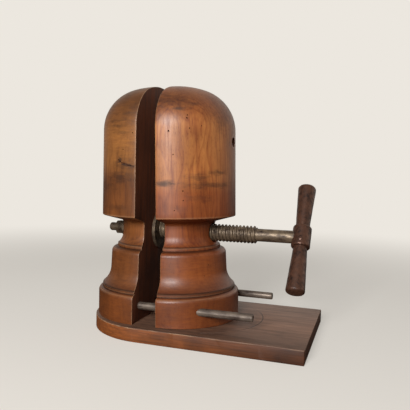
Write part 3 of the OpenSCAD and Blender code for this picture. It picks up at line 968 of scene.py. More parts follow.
def board_wood(name, top_colour, edge_colour, grime_and_shade, arris):
    """A plank of oiled softwood, its top greyed by dust and its edges rubbed orange-brown. The grain runs
    along the board, in streaks on the top and in fine lines on the edges. The surface is dull."""
    material, tree, shader, coordinates = blank_material(name)
    split = node(tree, "ShaderNodeSeparateXYZ", {0: coordinates})
    x, y, z = split.outputs[0], split.outputs[1], split.outputs[2]
    space = node(
        tree,
        "ShaderNodeMapping",
        {"Vector": coordinates, "Scale": (1 / (75 * MM), 1 / (6 * MM), 1 / (3 * MM))},
    ).outputs[0]
    grain = node(
        tree, "ShaderNodeTexNoise", {"Vector": space, "Scale": 1.0, "Detail": 5.0, "Distortion": 0.6}
    )
    fine_space = node(
        tree,
        "ShaderNodeMapping",
        {"Vector": coordinates, "Scale": (1 / (22 * MM), 1 / (1.6 * MM), 1 / (1.2 * MM))},
    ).outputs[0]
    fine = node(tree, "ShaderNodeTexNoise", {"Vector": fine_space, "Scale": 1.0, "Detail": 3.0})
    clouds = node(tree, "ShaderNodeTexNoise", {"Vector": coordinates, "Scale": 1 / (40 * MM), "Detail": 4.0})
    on_top = node(
        tree, "ShaderNodeMapRange", {"Value": z, 1: BOARD_HIGH.z - 1.2 * MM, 2: BOARD_HIGH.z - 0.3 * MM}
    ).outputs[0]
    colour = node(
        tree, "ShaderNodeMix", {0: on_top, 6: edge_colour, 7: top_colour}, data_type="RGBA"
    ).outputs[2]
    streaks = node(
        tree, "ShaderNodeMapRange", {"Value": grain.outputs[0], 1: 0.3, 2: 0.72, 3: 1.2, 4: 0.62}
    ).outputs[0]
    lines = node(
        tree, "ShaderNodeMapRange", {"Value": fine.outputs[0], 1: 0.3, 2: 0.7, 3: 1.15, 4: 0.8}
    ).outputs[0]
    tone = node(tree, "ShaderNodeMath", {0: streaks, 1: lines}, operation="MULTIPLY").outputs[0]
    colour = node(
        tree, "ShaderNodeMix", {0: 1.0, 6: colour, 7: tone}, data_type="RGBA", blend_type="MULTIPLY"
    ).outputs[2]
    # Darker towards the board's square end, and on its top towards its front edge
    along = node(tree, "ShaderNodeMapRange", {"Value": x, 1: 10 * MM, 2: 190 * MM, 3: 1.0, 4: 0.3}).outputs[0]
    across = node(
        tree, "ShaderNodeMapRange", {"Value": y, 1: -20 * MM, 2: -80 * MM, 3: 1.0, 4: 0.5}
    ).outputs[0]
    worn = node(tree, "ShaderNodeMix", {0: on_top, 2: along, 3: across}).outputs[0]
    colour = node(
        tree, "ShaderNodeMix", {0: 1.0, 6: colour, 7: worn}, data_type="RGBA", blend_type="MULTIPLY"
    ).outputs[2]
    # Dirt in clouds and along the scratch of the moving foot
    patches = node(
        tree, "ShaderNodeMapRange", {"Value": clouds.outputs[0], 1: 0.52, 2: 0.75, 3: 0.0, 4: 0.6}
    ).outputs[0]
    from_x = node(tree, "ShaderNodeMath", {0: x, 1: WEAR_ARC_X}, operation="SUBTRACT").outputs[0]
    from_arc = node(tree, "ShaderNodeCombineXYZ", {0: from_x, 1: y}).outputs[0]
    from_arc = node(tree, "ShaderNodeVectorMath", {0: from_arc}, operation="LENGTH").outputs["Value"]
    ring = node(
        tree, "ShaderNodeMath", {0: from_arc, 1: WEAR_ARC_R, 2: 0.7 * MM}, operation="COMPARE"
    ).outputs[0]
    ahead = node(
        tree, "ShaderNodeMapRange", {"Value": x, 1: 138 * MM, 2: 146 * MM, 3: 0.35, 4: 0.85}
    ).outputs[0]
    ring = node(tree, "ShaderNodeMath", {0: ring, 1: ahead}, operation="MULTIPLY").outputs[0]
    ring = node(tree, "ShaderNodeMath", {0: ring, 1: on_top}, operation="MULTIPLY").outputs[0]
    darkening = node(tree, "ShaderNodeMath", {0: patches, 1: ring}, operation="MAXIMUM").outputs[0]
    colour = node(tree, "ShaderNodeMix", {0: darkening, 6: colour, 7: grime_and_shade}, data_type="RGBA").outputs[2]
    # Rubbed pale along the top edge
    up = node(
        tree, "ShaderNodeMapRange", {"Value": z, 1: BOARD_HIGH.z - 1.9 * MM, 2: BOARD_HIGH.z - 1.1 * MM}
    ).outputs[0]
    down = node(
        tree, "ShaderNodeMapRange",
        {"Value": z, 1: BOARD_HIGH.z - 0.5 * MM, 2: BOARD_HIGH.z - 0.1 * MM, 3: 1.0, 4: 0.0}
    ).outputs[0]
    rub = node(tree, "ShaderNodeMath", {0: up, 1: down}, operation="MULTIPLY").outputs[0]
    patchy = node(
        tree, "ShaderNodeMapRange", {"Value": fine.outputs[0], 1: 0.42, 2: 0.62, 3: 0.0, 4: 0.75}
    ).outputs[0]
    rub = node(tree, "ShaderNodeMath", {0: rub, 1: patchy}, operation="MULTIPLY").outputs[0]
    rub = node(tree, "ShaderNodeMath", {0: rub, 1: along}, operation="MULTIPLY").outputs[0]
    colour = node(tree, "ShaderNodeMix", {0: rub, 6: colour, 7: arris}, data_type="RGBA").outputs[2]
    tree.links.new(colour, shader.inputs["Base Color"])
    roughness = node(tree, "ShaderNodeMapRange", {"Value": grain.outputs[0], 3: 0.48, 4: 0.66}).outputs[0]
    tree.links.new(roughness, shader.inputs["Roughness"])
    shader.inputs["IOR"].default_value = 1.5
    relief = node(
        tree, "ShaderNodeMath", {0: grain.outputs[0], 1: fine.outputs[0]}, operation="ADD"
    ).outputs[0]
    bump = node(tree, "ShaderNodeBump", {"Height": relief, "Strength": 0.6, "Distance": 0.25 * MM})
    tree.links.new(bump.outputs[0], shader.inputs["Normal"])
    return material


def old_metal(name, base, dark, roughness, grain, pits, rust=0.0):
    """Iron or steel that was forged, drawn or turned long ago. grain is the size of its marks along each
    axis, and pits how deep they are. A brown film lies over the metal and is rubbed off where it is
    handled, and rust is how much of the metal's shine the film takes."""
    material, tree, shader, coordinates = blank_material(name)
    space = node(
        tree, "ShaderNodeMapping", {"Vector": coordinates, "Scale": [1 / (g * MM) for g in grain]}
    ).outputs[0]
    marks = node(tree, "ShaderNodeTexNoise", {"Vector": space, "Scale": 1.0, "Detail": 5.0, "Roughness": 0.6})
    film = node(tree, "ShaderNodeTexNoise", {"Vector": coordinates, "Scale": 1 / (13 * MM), "Detail": 5.0})
    mixed = node(
        tree, "ShaderNodeMath", {0: marks.outputs[0], 1: film.outputs[0]}, operation="ADD"
    ).outputs[0]
    part = node(tree, "ShaderNodeMapRange", {"Value": mixed, 1: 0.72, 2: 1.28}).outputs[0]
    colour = node(tree, "ShaderNodeMix", {0: part, 6: base, 7: dark}, data_type="RGBA").outputs[2]
    tree.links.new(colour, shader.inputs["Base Color"])
    metal = node(tree, "ShaderNodeMapRange", {"Value": part, 3: 1.0 - 0.6 * rust, 4: 1.0 - rust}).outputs[0]
    tree.links.new(metal, shader.inputs["Metallic"])
    rough = node(
        tree, "ShaderNodeMapRange", {"Value": part, 3: roughness, 4: min(1.0, roughness + 0.22)}
    ).outputs[0]
    tree.links.new(rough, shader.inputs["Roughness"])
    bump = node(tree, "ShaderNodeBump", {"Height": marks.outputs[0], "Strength": 0.7, "Distance": pits * MM})
    tree.links.new(bump.outputs[0], shader.inputs["Normal"])
    return material


class HATFORM_OT_turned_halves(bpy.types.Operator):
    """Turn the block on its outline, saw it in two, bore it and put both halves in their places"""

    bl_idname = "hatform.turned_halves"
    bl_label = "Turned halves"

    def execute(self, context):
        t = context.scene.hatform_turning
        c = context.scene.hatform_colours
        blank = spun("turned_block", turned_outline(t, FOOT_SPARE), t.steps)
        fixed_blank = spun("turned_block_fixed", turned_outline(t, 0), t.steps)
        sawn = sawn_wood("sawn_beech", c.sawn, c.grime_and_shade)

        fixed = sawn_half(t, "fixed_half_turned", fixed_blank, False)
        tail_r = context.scene.hatform_screw.tail_r
        tools = [
            bar("tail_bore", FIXED_LOW.x - PAST, PAST, tail_r + ROD_RUNNING, 0, SCREW_Z),
            bar(
                "tail_seat", WASHER_HIGH.x - TAIL_SEAT_REACH, WASHER_HIGH.x + 0.1 * MM, TAIL_SEAT_R,
                0, SCREW_Z
            ),
            worm_holes(t, FIXED_HOLES, False),
            crack_tool(t),
        ]
        rod_r = ROD_HIGH.z - ROD_Z
        for side in (-1, 1):
            tools.append(bar("rod_bore", ROD_LOW.x, PAST, rod_r, side * ROD_Y, ROD_Z))
        bored(fixed, tools)
        wood = turned_wood(
            "polished_beech_fixed", t, c.fixed_light, c.fixed_dark, c.grime_and_shade, c.arris, FIXED_STAIN_AND_SHADE,
            FIXED_STAINS, False
        )
        dress(fixed, "base", "form_wood", [wood, sawn], "fixed_half")

        moving = sawn_half(t, "moving_half_turned", blank, True)
        end_x = NUT_LOW.x + NUT_FLANGE
        tools = [
            bar("flange_seat", NUT_LOW.x - NUT_RECESS, end_x, NUT_HIGH.y, 0, SCREW_Z, 64),
            bar("hub_seat", end_x - PAST, NUT_HIGH.x, NUT_HUB_R, 0, SCREW_Z),
            bar("neck_hole", NUT_HIGH.x - PAST, NUT_HIGH.x + t.base_r, NECK_HOLE_R, 0, SCREW_Z),
            bar("peg_hole", PEG_HOLE_X, PEG_HOLE_X + t.dome_r, PEG_HOLE_R, 0, PEG_HOLE_Z),
            worm_holes(t, MOVING_HOLES, True),
        ]
        for side in (-1, 1):
            tools.append(bar("rod_bore", 0, ROD_HIGH.x, rod_r + ROD_RUNNING, side * ROD_Y, ROD_Z))
        bored(moving, tools)
        wood = turned_wood(
            "polished_beech_moving", t, c.moving_light, c.moving_dark, c.grime_and_shade, c.arris, MOVING_STAIN_AND_SHADE,
            MOVING_STAINS, True
        )
        dress(moving, "moving_form", "form_wood", [wood, sawn], "moving_half")
        bpy.data.objects.remove(blank)
        bpy.data.objects.remove(fixed_blank)
        return {"FINISHED"}


class HATFORM_OT_board(bpy.types.Operator):
    """Saw the board with its round end, rub its edges and scratch its top"""

    bl_idname = "hatform.board"
    bl_label = "Board"

    def execute(self, context):
        c = context.scene.hatform_colours
        end_r = BOARD_HIGH.y
        arc_x = BOARD_LOW.x + end_r
        thick = BOARD_HIGH.z - BOARD_LOW.z
        deselect()
        bpy.ops.mesh.primitive_cylinder_add(
            vertices=128, radius=end_r, depth=thick, location=(arc_x, 0, thick / 2)
        )
        board = named("board_plank")
        put(board, Matrix.Identity(4))
        edit(board)
        bpy.ops.mesh.select_all(action="SELECT")
        bpy.ops.mesh.bisect(plane_co=(arc_x, 0, 0), plane_no=(1, 0, 0), threshold=WELD, clear_outer=True)
        choose(board, "EDGE", lambda e: all(abs(v.co.x - arc_x) < WELD for v in e.verts))
        lengths = 16
        step = (BOARD_HIGH.x - arc_x) / lengths
        for _ in range(lengths):
            bpy.ops.mesh.extrude_region_move(TRANSFORM_OT_translate={"value": (step, 0, 0)})
        bpy.ops.mesh.edge_face_add()
        close_up(board)

        def on_arris(edge):
            flat = [f for f in edge.link_faces if abs(f.normal.z) > 0.999]
            return len(flat) == 1

        def on_corner(edge):
            tall = abs(edge.verts[0].co.z - edge.verts[1].co.z) > thick / 2
            return on_arris(edge) or (tall and edge.verts[0].co.x > BOARD_HIGH.x - WELD)

        soften(board, 1.5 * MM, 3, on_corner, uneven=0.6, scale=26 * MM)
        deselect()
        bpy.ops.mesh.primitive_circle_add(
            vertices=8, radius=0.45 * MM, fill_type="NGON", rotation=(math.pi / 2, 0, 0)
        )
        scratch = named("scratch")
        start = Matrix.Translation((WEAR_ARC_X, 0, BOARD_HIGH.z)) @ Matrix.Rotation(WEAR_ARC_FROM, 4, "Z")
        put(scratch, start @ Matrix.Translation((WEAR_ARC_R, 0, 0)))
        edit(scratch)
        bpy.ops.mesh.select_all(action="SELECT")
        bpy.ops.mesh.spin(
            steps=40,
            angle=WEAR_ARC_TO - WEAR_ARC_FROM,
            center=(WEAR_ARC_X, 0, BOARD_HIGH.z),
            axis=(0, 0, 1),
        )
        close_up(scratch)
        combine(board, scratch)
        chips = []
        for along, height, size in CHIPS:
            deselect()
            bpy.ops.mesh.primitive_ico_sphere_add(
                subdivisions=2, radius=size * MM,
                location=(along * MM, BOARD_LOW.y - 0.3 * size * MM, height * MM)
            )
            chips.append(named("chip"))
            put(chips[-1], Matrix.Identity(4))
        combine(board, joined("chips", chips))
        wood = board_wood("oiled_plank", c.board_top, c.board_edge, c.grime_and_shade, c.arris)
        dress(board, "base", "board_wood", [wood], "base_board")
        return {"FINISHED"}


class HATFORM_OT_guide_rods(bpy.types.Operator):
    """Finish the two guide rods as drawn steel"""

    bl_idname = "hatform.guide_rods"
    bl_label = "Guide rods"

    def execute(self, context):
        c = context.scene.hatform_colours
        steel = old_metal("drawn_steel", c.steel, c.grime_and_shade, 0.45, (60, 1.2, 1.2), 0.05, rust=0.85)
        for name in ("front_guide_rod", "rear_guide_rod"):
            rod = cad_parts[name]
            rod.data.materials[0] = steel
        return {"FINISHED"}


def thread_outline(crest_r, root_r, pitch):
    """One pitch of a worn thread: a flat root, sloping flanks and a rounded crest."""
    depth = crest_r - root_r
    round_r = 0.24 * pitch
    points = [(root_r, 0), (root_r, 0.12 * pitch)]
    points += arc((crest_r - round_r, 0.5 * pitch), round_r, -70, 70, 8)
    points += [(root_r, 0.88 * pitch), (root_r, pitch)]
    points[2:-2] = [(min(crest_r, max(root_r + 0.2 * depth, r)), h) for r, h in points[2:-2]]
    return points


def threaded_bar(name, crest_r, root_r, pitch, low, high, steps):
    """A right-hand thread along Z between two heights, closed at both ends."""
    deselect()
    bpy.ops.mesh.primitive_plane_add(size=MM)
    piece = named(name)
    bpy.ops.object.mode_set(mode="EDIT")
    bpy.ops.mesh.select_mode(type="VERT")
    bpy.ops.mesh.select_all(action="SELECT")
    bpy.ops.mesh.merge(type="CENTER")
    outline = thread_outline(crest_r, root_r, pitch)
    start = low - THREAD_LEAD_IN * pitch
    bpy.ops.transform.translate(value=(outline[0][0], 0, start + outline[0][1]))
    for (r0, h0), (r1, h1) in zip(outline, outline[1:]):
        bpy.ops.mesh.extrude_region_move(TRANSFORM_OT_translate={"value": (r1 - r0, 0, h1 - h0)})
    bpy.ops.object.mode_set(mode="OBJECT")
    turns = math.ceil((high - low) / pitch) + 3
    modify(
        piece,
        "SCREW",
        axis="Z",
        angle=math.tau,
        screw_offset=pitch,
        iterations=turns,
        steps=steps,
        render_steps=steps,
        use_merge_vertices=True,
        merge_threshold=WELD,
    )
    close_up(piece)
    edit(piece)
    for height, keep_above in ((low, True), (high, False)):
        bpy.ops.mesh.select_all(action="SELECT")
        bpy.ops.mesh.bisect(
            plane_co=(0, 0, height),
            plane_no=(0, 0, 1),
            use_fill=True,
            threshold=WELD,
            clear_inner=keep_above,
            clear_outer=not keep_above,
        )
    close_up(piece)
    return piece


THREAD_CHAMFER = 1.6 * MM
# Turns below the cut end, not a whole number, so that the cut meets no vertex
THREAD_LEAD_IN = 1.987
TAIL_CHAMFER = 1.5 * MM
SHANK_IN_BOSS = 4.75 * MM
TENON_R = 5.5 * MM
TENON_PAST_MIDDLE = 7 * MM
PLATE_RUB_GAP = 0.1 * MM
PIN_R = 2.5 * MM
PIN_DROP = 6.5 * MM


def along_x(z):
    """Turns a piece made round Z so that it lies along X, at a height."""
    return Matrix.Translation((0, 0, z)) @ Matrix.Rotation(math.pi / 2, 4, "Y")


def handle_place(s):
    """The handle's own frame: Z along the grips, X along the screw."""
    return Matrix.Translation((s.handle_x, 0, SCREW_Z)) @ Matrix.Rotation(-s.handle_turn, 4, "X")


class HATFORM_OT_lead_screw(bpy.types.Operator):
    """Cut the coarse thread of the lead screw, its shank, its tenon and the fine thread of its tail"""

    bl_idname = "hatform.lead_screw"
    bl_label = "Lead screw"

    def execute(self, context):
        s = context.scene.hatform_screw
        c = context.scene.hatform_colours
        start = PLATE_HIGH.x + PLATE_RUB_GAP
        stop = s.thread_end_x
        shank_end = s.handle_x - s.boss_r + SHANK_IN_BOSS
        tail_x = SCREW_LOW.x
        tail_thread_x = FIXED_LOW.x * 0.5
        screw = threaded_bar("lead_screw_cut", s.thread_r, s.root_r, s.pitch, start, stop, 48)
        blank = spun(
            "screw_blank",
            [
                (0, start - PAST),
                (s.thread_r + PAST, start - PAST),
                (s.thread_r + PAST, stop - THREAD_CHAMFER - PAST),
                (s.root_r - THREAD_CHAMFER / 2, stop + PAST),
                (0, stop + PAST),
            ],
            64,
        )
        combine(screw, blank, "INTERSECT")
        shaft = spun(
            "screw_shaft",
            [
                (0, tail_x),
                (s.tail_r - TAIL_CHAMFER, tail_x),
                (s.tail_r - 0.5 * MM, tail_x + TAIL_CHAMFER - 0.5 * MM),
                (s.tail_r - 0.5 * MM, tail_thread_x),
                (s.tail_r, tail_thread_x + 0.5 * MM),
                (s.tail_r, start + PAST),
                (s.shank_r, start + PAST),
                (s.shank_r, shank_end),
                (TENON_R, shank_end),
                (TENON_R, s.handle_x + TENON_PAST_MIDDLE),
                (0, s.handle_x + TENON_PAST_MIDDLE),
            ],
            64,
        )
        combine(screw, shaft, "UNION")
        tail = threaded_bar(
            "tail_thread", s.tail_r, s.tail_r - 0.9 * MM, s.tail_pitch, tail_x + TAIL_CHAMFER,
            tail_thread_x, 32
        )
        combine(screw, tail, "UNION")
        put(screw, along_x(SCREW_Z))
        deselect()
        bpy.ops.mesh.primitive_cylinder_add(
            vertices=32, radius=PIN_R, depth=2 * s.boss_r, rotation=(math.pi / 2, 0, 0)
        )
        notch = named("pin_notch")
        put(notch, handle_place(s) @ Matrix.Translation((0, 0, -PIN_DROP)))
        combine(screw, notch)
        iron = old_metal("oiled_wrought_iron", c.screw_iron, c.grime_and_shade, 0.38, (9, 3, 3), 0.12, rust=0.75)
        dress(screw, "hand_screw", "screw_steel", [iron], "lead_screw", angle=40)
        return {"FINISHED"}


class HATFORM_OT_plates(bpy.types.Operator):
    """Finish the thrust plate, the screw nut, the washer and the tail nut as dark iron"""

    bl_idname = "hatform.plates"
    bl_label = "Plates and nuts"

    def execute(self, context):
        c = context.scene.hatform_colours
        iron = old_metal("black_iron_plate", c.screw_iron, c.grime_and_shade, 0.42, (6, 6, 6), 0.15, rust=0.5)
        for name in ("thrust_plate", "screw_nut", "tail_washer", "tail_nut"):
            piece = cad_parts[name]
            piece.data.materials[0] = iron
        return {"FINISHED"}


def slotted_screw(name, shank_r, head_r, head_h, length):
    """One countersunk wood screw along +Z with a slightly domed, slotted head at zero."""
    dome = 0.12 * head_r
    piece = spun(
        name,
        [
            (0, -dome),
            (0.5 * head_r, -0.75 * dome),
            (head_r, 0),
            (head_r, 0.15 * head_h),
            (shank_r, head_h),
            (shank_r, 0.85 * length),
            (0, length),
        ],
        32,
    )
    deselect()
    bpy.ops.mesh.primitive_cube_add(size=1)
    slot_tool = named("slot")
    put(slot_tool, Matrix.Diagonal((2.4 * head_r, 0.24 * head_r, 0.7 * head_h, 1)))
    combine(piece, slot_tool)
    return piece


RING_SCREW_R = 2 * MM
RING_HEAD_R = 4 * MM
RING_HEAD_H = 2 * MM
RING_SCREW_L = 20 * MM
RING_R = 19.5 * MM
BOARD_SCREWS = ((-18, -36), (-18, 36), (-58, -22), (-58, 22))
BOARD_SCREW_SUNK = 0.5 * MM
BOARD_SCREW_TOP = 46 * MM
BOARD_SCREW_R = 2.75 * MM
BOARD_HEAD_R = 5.25 * MM
BOARD_HEAD_H = 3.5 * MM


class HATFORM_OT_fasteners(bpy.types.Operator):
    """Make the slotted screws of the two plates and of the board"""

    bl_idname = "hatform.fasteners"
    bl_label = "Slotted screws"

    def ring(self, name, one, x, way, turn, slots):
        """Three copies of a screw round the lead screw's line."""
        copies = []
        for i in range(3):
            deselect()
            one.select_set(True)
            bpy.context.view_layer.objects.active = one
            bpy.ops.object.duplicate()
            copy = named("%s_%d" % (name, i))
            around = Matrix.Rotation(math.radians(turn + 120 * i), 4, "X")
            inward = Matrix.Rotation(math.pi / 2 * way, 4, "Y") @ Matrix.Rotation(
                slots.uniform(0, math.pi), 4, "Z"
            )
            put(
                copy,
                Matrix.Translation((x, 0, SCREW_Z)) @ around @ Matrix.Translation((0, 0, RING_R)) @ inward
            )
            copies.append(copy)
        return joined(name, copies)

    def execute(self, context):
        c = context.scene.hatform_colours
        slots = random.Random(4)
        steel = old_metal("screw_head_steel", c.steel, c.grime_and_shade, 0.4, (3, 3, 3), 0.06, rust=0.4)
        small = slotted_screw("small_screw", RING_SCREW_R, RING_HEAD_R, RING_HEAD_H, RING_SCREW_L)
        plate = self.ring("plate_screws_slotted", small, PLATE_HIGH.x, -1, 90, slots)
        dress(plate, "base", "fastener_steel", [steel], "thrust_plate_screws")
        nut = self.ring("nut_screws_slotted", small, NUT_LOW.x, 1, 30, slots)
        dress(nut, "moving_form", "fastener_steel", [steel], "screw_nut_screws")
        length = BOARD_SCREW_TOP - BOARD_SCREW_SUNK
        large = slotted_screw("large_screw", BOARD_SCREW_R, BOARD_HEAD_R, BOARD_HEAD_H, length)
        copies = []
        for along, across in BOARD_SCREWS:
            deselect()
            large.select_set(True)
            bpy.context.view_layer.objects.active = large
            bpy.ops.object.duplicate()
            copies.append(named("board_screw"))
            place = Matrix.Translation((along * MM, across * MM, BOARD_SCREW_SUNK))
            put(copies[-1], place @ Matrix.Rotation(slots.uniform(0, math.pi), 4, "Z"))
        under = joined("board_screws_slotted", copies)
        dress(under, "base", "fastener_steel", [steel], "board_screws")
        bpy.data.objects.remove(small)
        bpy.data.objects.remove(large)
        return {"FINISHED"}


GRIP_ROUND_R = 3.5 * MM
GRIP_DOME = 1.2 * MM
SOCKET_R = 7.5 * MM
SPIGOT_START = 5.8 * MM
BOSS_ROUND_R = 2 * MM
PIN_SEAT_DEPTH = 0.8 * MM
PIN_HEAD_R = 3.5 * MM
PIN_HEAD_H = 1.4 * MM


def hammered(piece, size, depth):
    """Makes a forged surface a little uneven."""
    texture = bpy.data.textures.new(piece.name + "_forging", "CLOUDS")
    texture.noise_scale = size
    texture.noise_depth = 2
    modify(piece, "DISPLACE", texture=texture, texture_coords="LOCAL", strength=depth, mid_level=0.5)


class HATFORM_OT_handle(bpy.types.Operator):
    """Forge the handle: the boss, the two tapering grips and the riveted cross pin"""

    bl_idname = "hatform.handle"
    bl_label = "Handle"

    def execute(self, context):
        s = context.scene.hatform_screw
        c = context.scene.hatform_colours
        iron = old_metal("browned_forged_iron", c.handle_iron, c.grime_and_shade, 0.3, (3.2, 3.2, 5), 0.35, rust=0.7)
        place = handle_place(s)
        half = s.boss_l / 2

        outline = [(0, -half)] + arc((s.boss_r - BOSS_ROUND_R, -half + BOSS_ROUND_R), BOSS_ROUND_R, -90, 0, 5)
        outline += arc((s.boss_r - BOSS_ROUND_R, half - BOSS_ROUND_R), BOSS_ROUND_R, 0, 90, 5) + [(0, half)]
        boss = spun("boss_forged", stepped(outline, 1.5 * MM), 72)
        hammered(boss, 7 * MM, 0.35 * MM)
        deselect()
        bpy.ops.mesh.primitive_cylinder_add(
            vertices=48, radius=SOCKET_R + ROD_RUNNING, depth=s.boss_l + 4 * PAST
        )
        combine(boss, named("socket"))
        reach = 2 * s.boss_r
        shank = bar("shank_bore", -reach, SHANK_IN_BOSS - s.boss_r, s.shank_r + ROD_RUNNING, 0, 0)
        combine(boss, shank)
        tenon = bar("tenon_bore", -s.boss_r, TENON_PAST_MIDDLE, TENON_R + ROD_RUNNING, 0, 0)
        combine(boss, tenon)
        for radius, low, high in (
            (PIN_R, -reach, reach),
            (PIN_HEAD_R, s.boss_r - PIN_SEAT_DEPTH, reach),
            (PIN_HEAD_R, -reach, -s.boss_r + PIN_SEAT_DEPTH),
        ):
            deselect()
            bpy.ops.mesh.primitive_cylinder_add(
                vertices=32, radius=radius, depth=high - low, location=(0, (low + high) / 2, -PIN_DROP),
                rotation=(math.pi / 2, 0, 0),
            )
            tool = named("pin_bore")
            put(tool, Matrix.Identity(4))
            combine(boss, tool)
        put(boss, place)
        dress(boss, "hand_screw", "handle_iron", [iron], "handle_boss")

        end_h = s.handle_reach - GRIP_DOME
        outline = [(0, SPIGOT_START), (SOCKET_R, SPIGOT_START), (SOCKET_R, half), (s.grip_neck_r, half)]
        outline += arc((s.grip_end_r - GRIP_ROUND_R, end_h - GRIP_ROUND_R), GRIP_ROUND_R, 0, 80, 8)
        outline += [(0, s.handle_reach)]
        for name, turn, replaced in (
            ("upper_grip_forged", 0, "upper_grip"),
            ("lower_grip_forged", math.pi, "lower_grip"),
        ):
            grip = spun(name, stepped(outline, 2 * MM), 64)
            hammered(grip, 9 * MM, 0.4 * MM)
            put(grip, place @ Matrix.Rotation(turn, 4, "X"))
            if turn:
                deselect()
                bpy.ops.mesh.primitive_cylinder_add(
                    vertices=32, radius=PIN_R, depth=reach, rotation=(math.pi / 2, 0, 0)
                )
                tool = named("pin_notch")
                put(tool, place @ Matrix.Translation((0, 0, -PIN_DROP)))
                combine(grip, tool)
            dress(grip, "hand_screw", "handle_iron", [iron], replaced)

        seat = s.boss_r - PIN_SEAT_DEPTH
        outline = [(0, -seat - PIN_HEAD_H), (0.45 * PIN_HEAD_R, -seat - 0.92 * PIN_HEAD_H)]
        outline += [(0.8 * PIN_HEAD_R, -seat - 0.62 * PIN_HEAD_H), (PIN_HEAD_R, -seat - 0.15 * PIN_HEAD_H)]
        outline += [(PIN_HEAD_R, -seat), (PIN_R, -seat)]
        outline += [(r, -h) for r, h in reversed(outline)]
        pin = spun("pin_riveted", outline, 32)
        put(pin, place @ Matrix.Translation((0, 0, -PIN_DROP)) @ Matrix.Rotation(math.pi / 2, 4, "X"))
        dress(pin, "hand_screw", "handle_iron", [iron], "cross_pin")
        return {"FINISHED"}


FLOOR_HALF = 40.0
# Share of the floor's own light that keeps it pale next to the object
FLOOR_GLOW = 0.45
CLEAR_FROM = 0.45
CLEAR_TO = 1.5
KEY_TOWARDS = (0.0, -0.95, 0.32)
KEY_DISTANCE = 1.9
KEY_SIZE = 0.8
SENSOR = 36.0


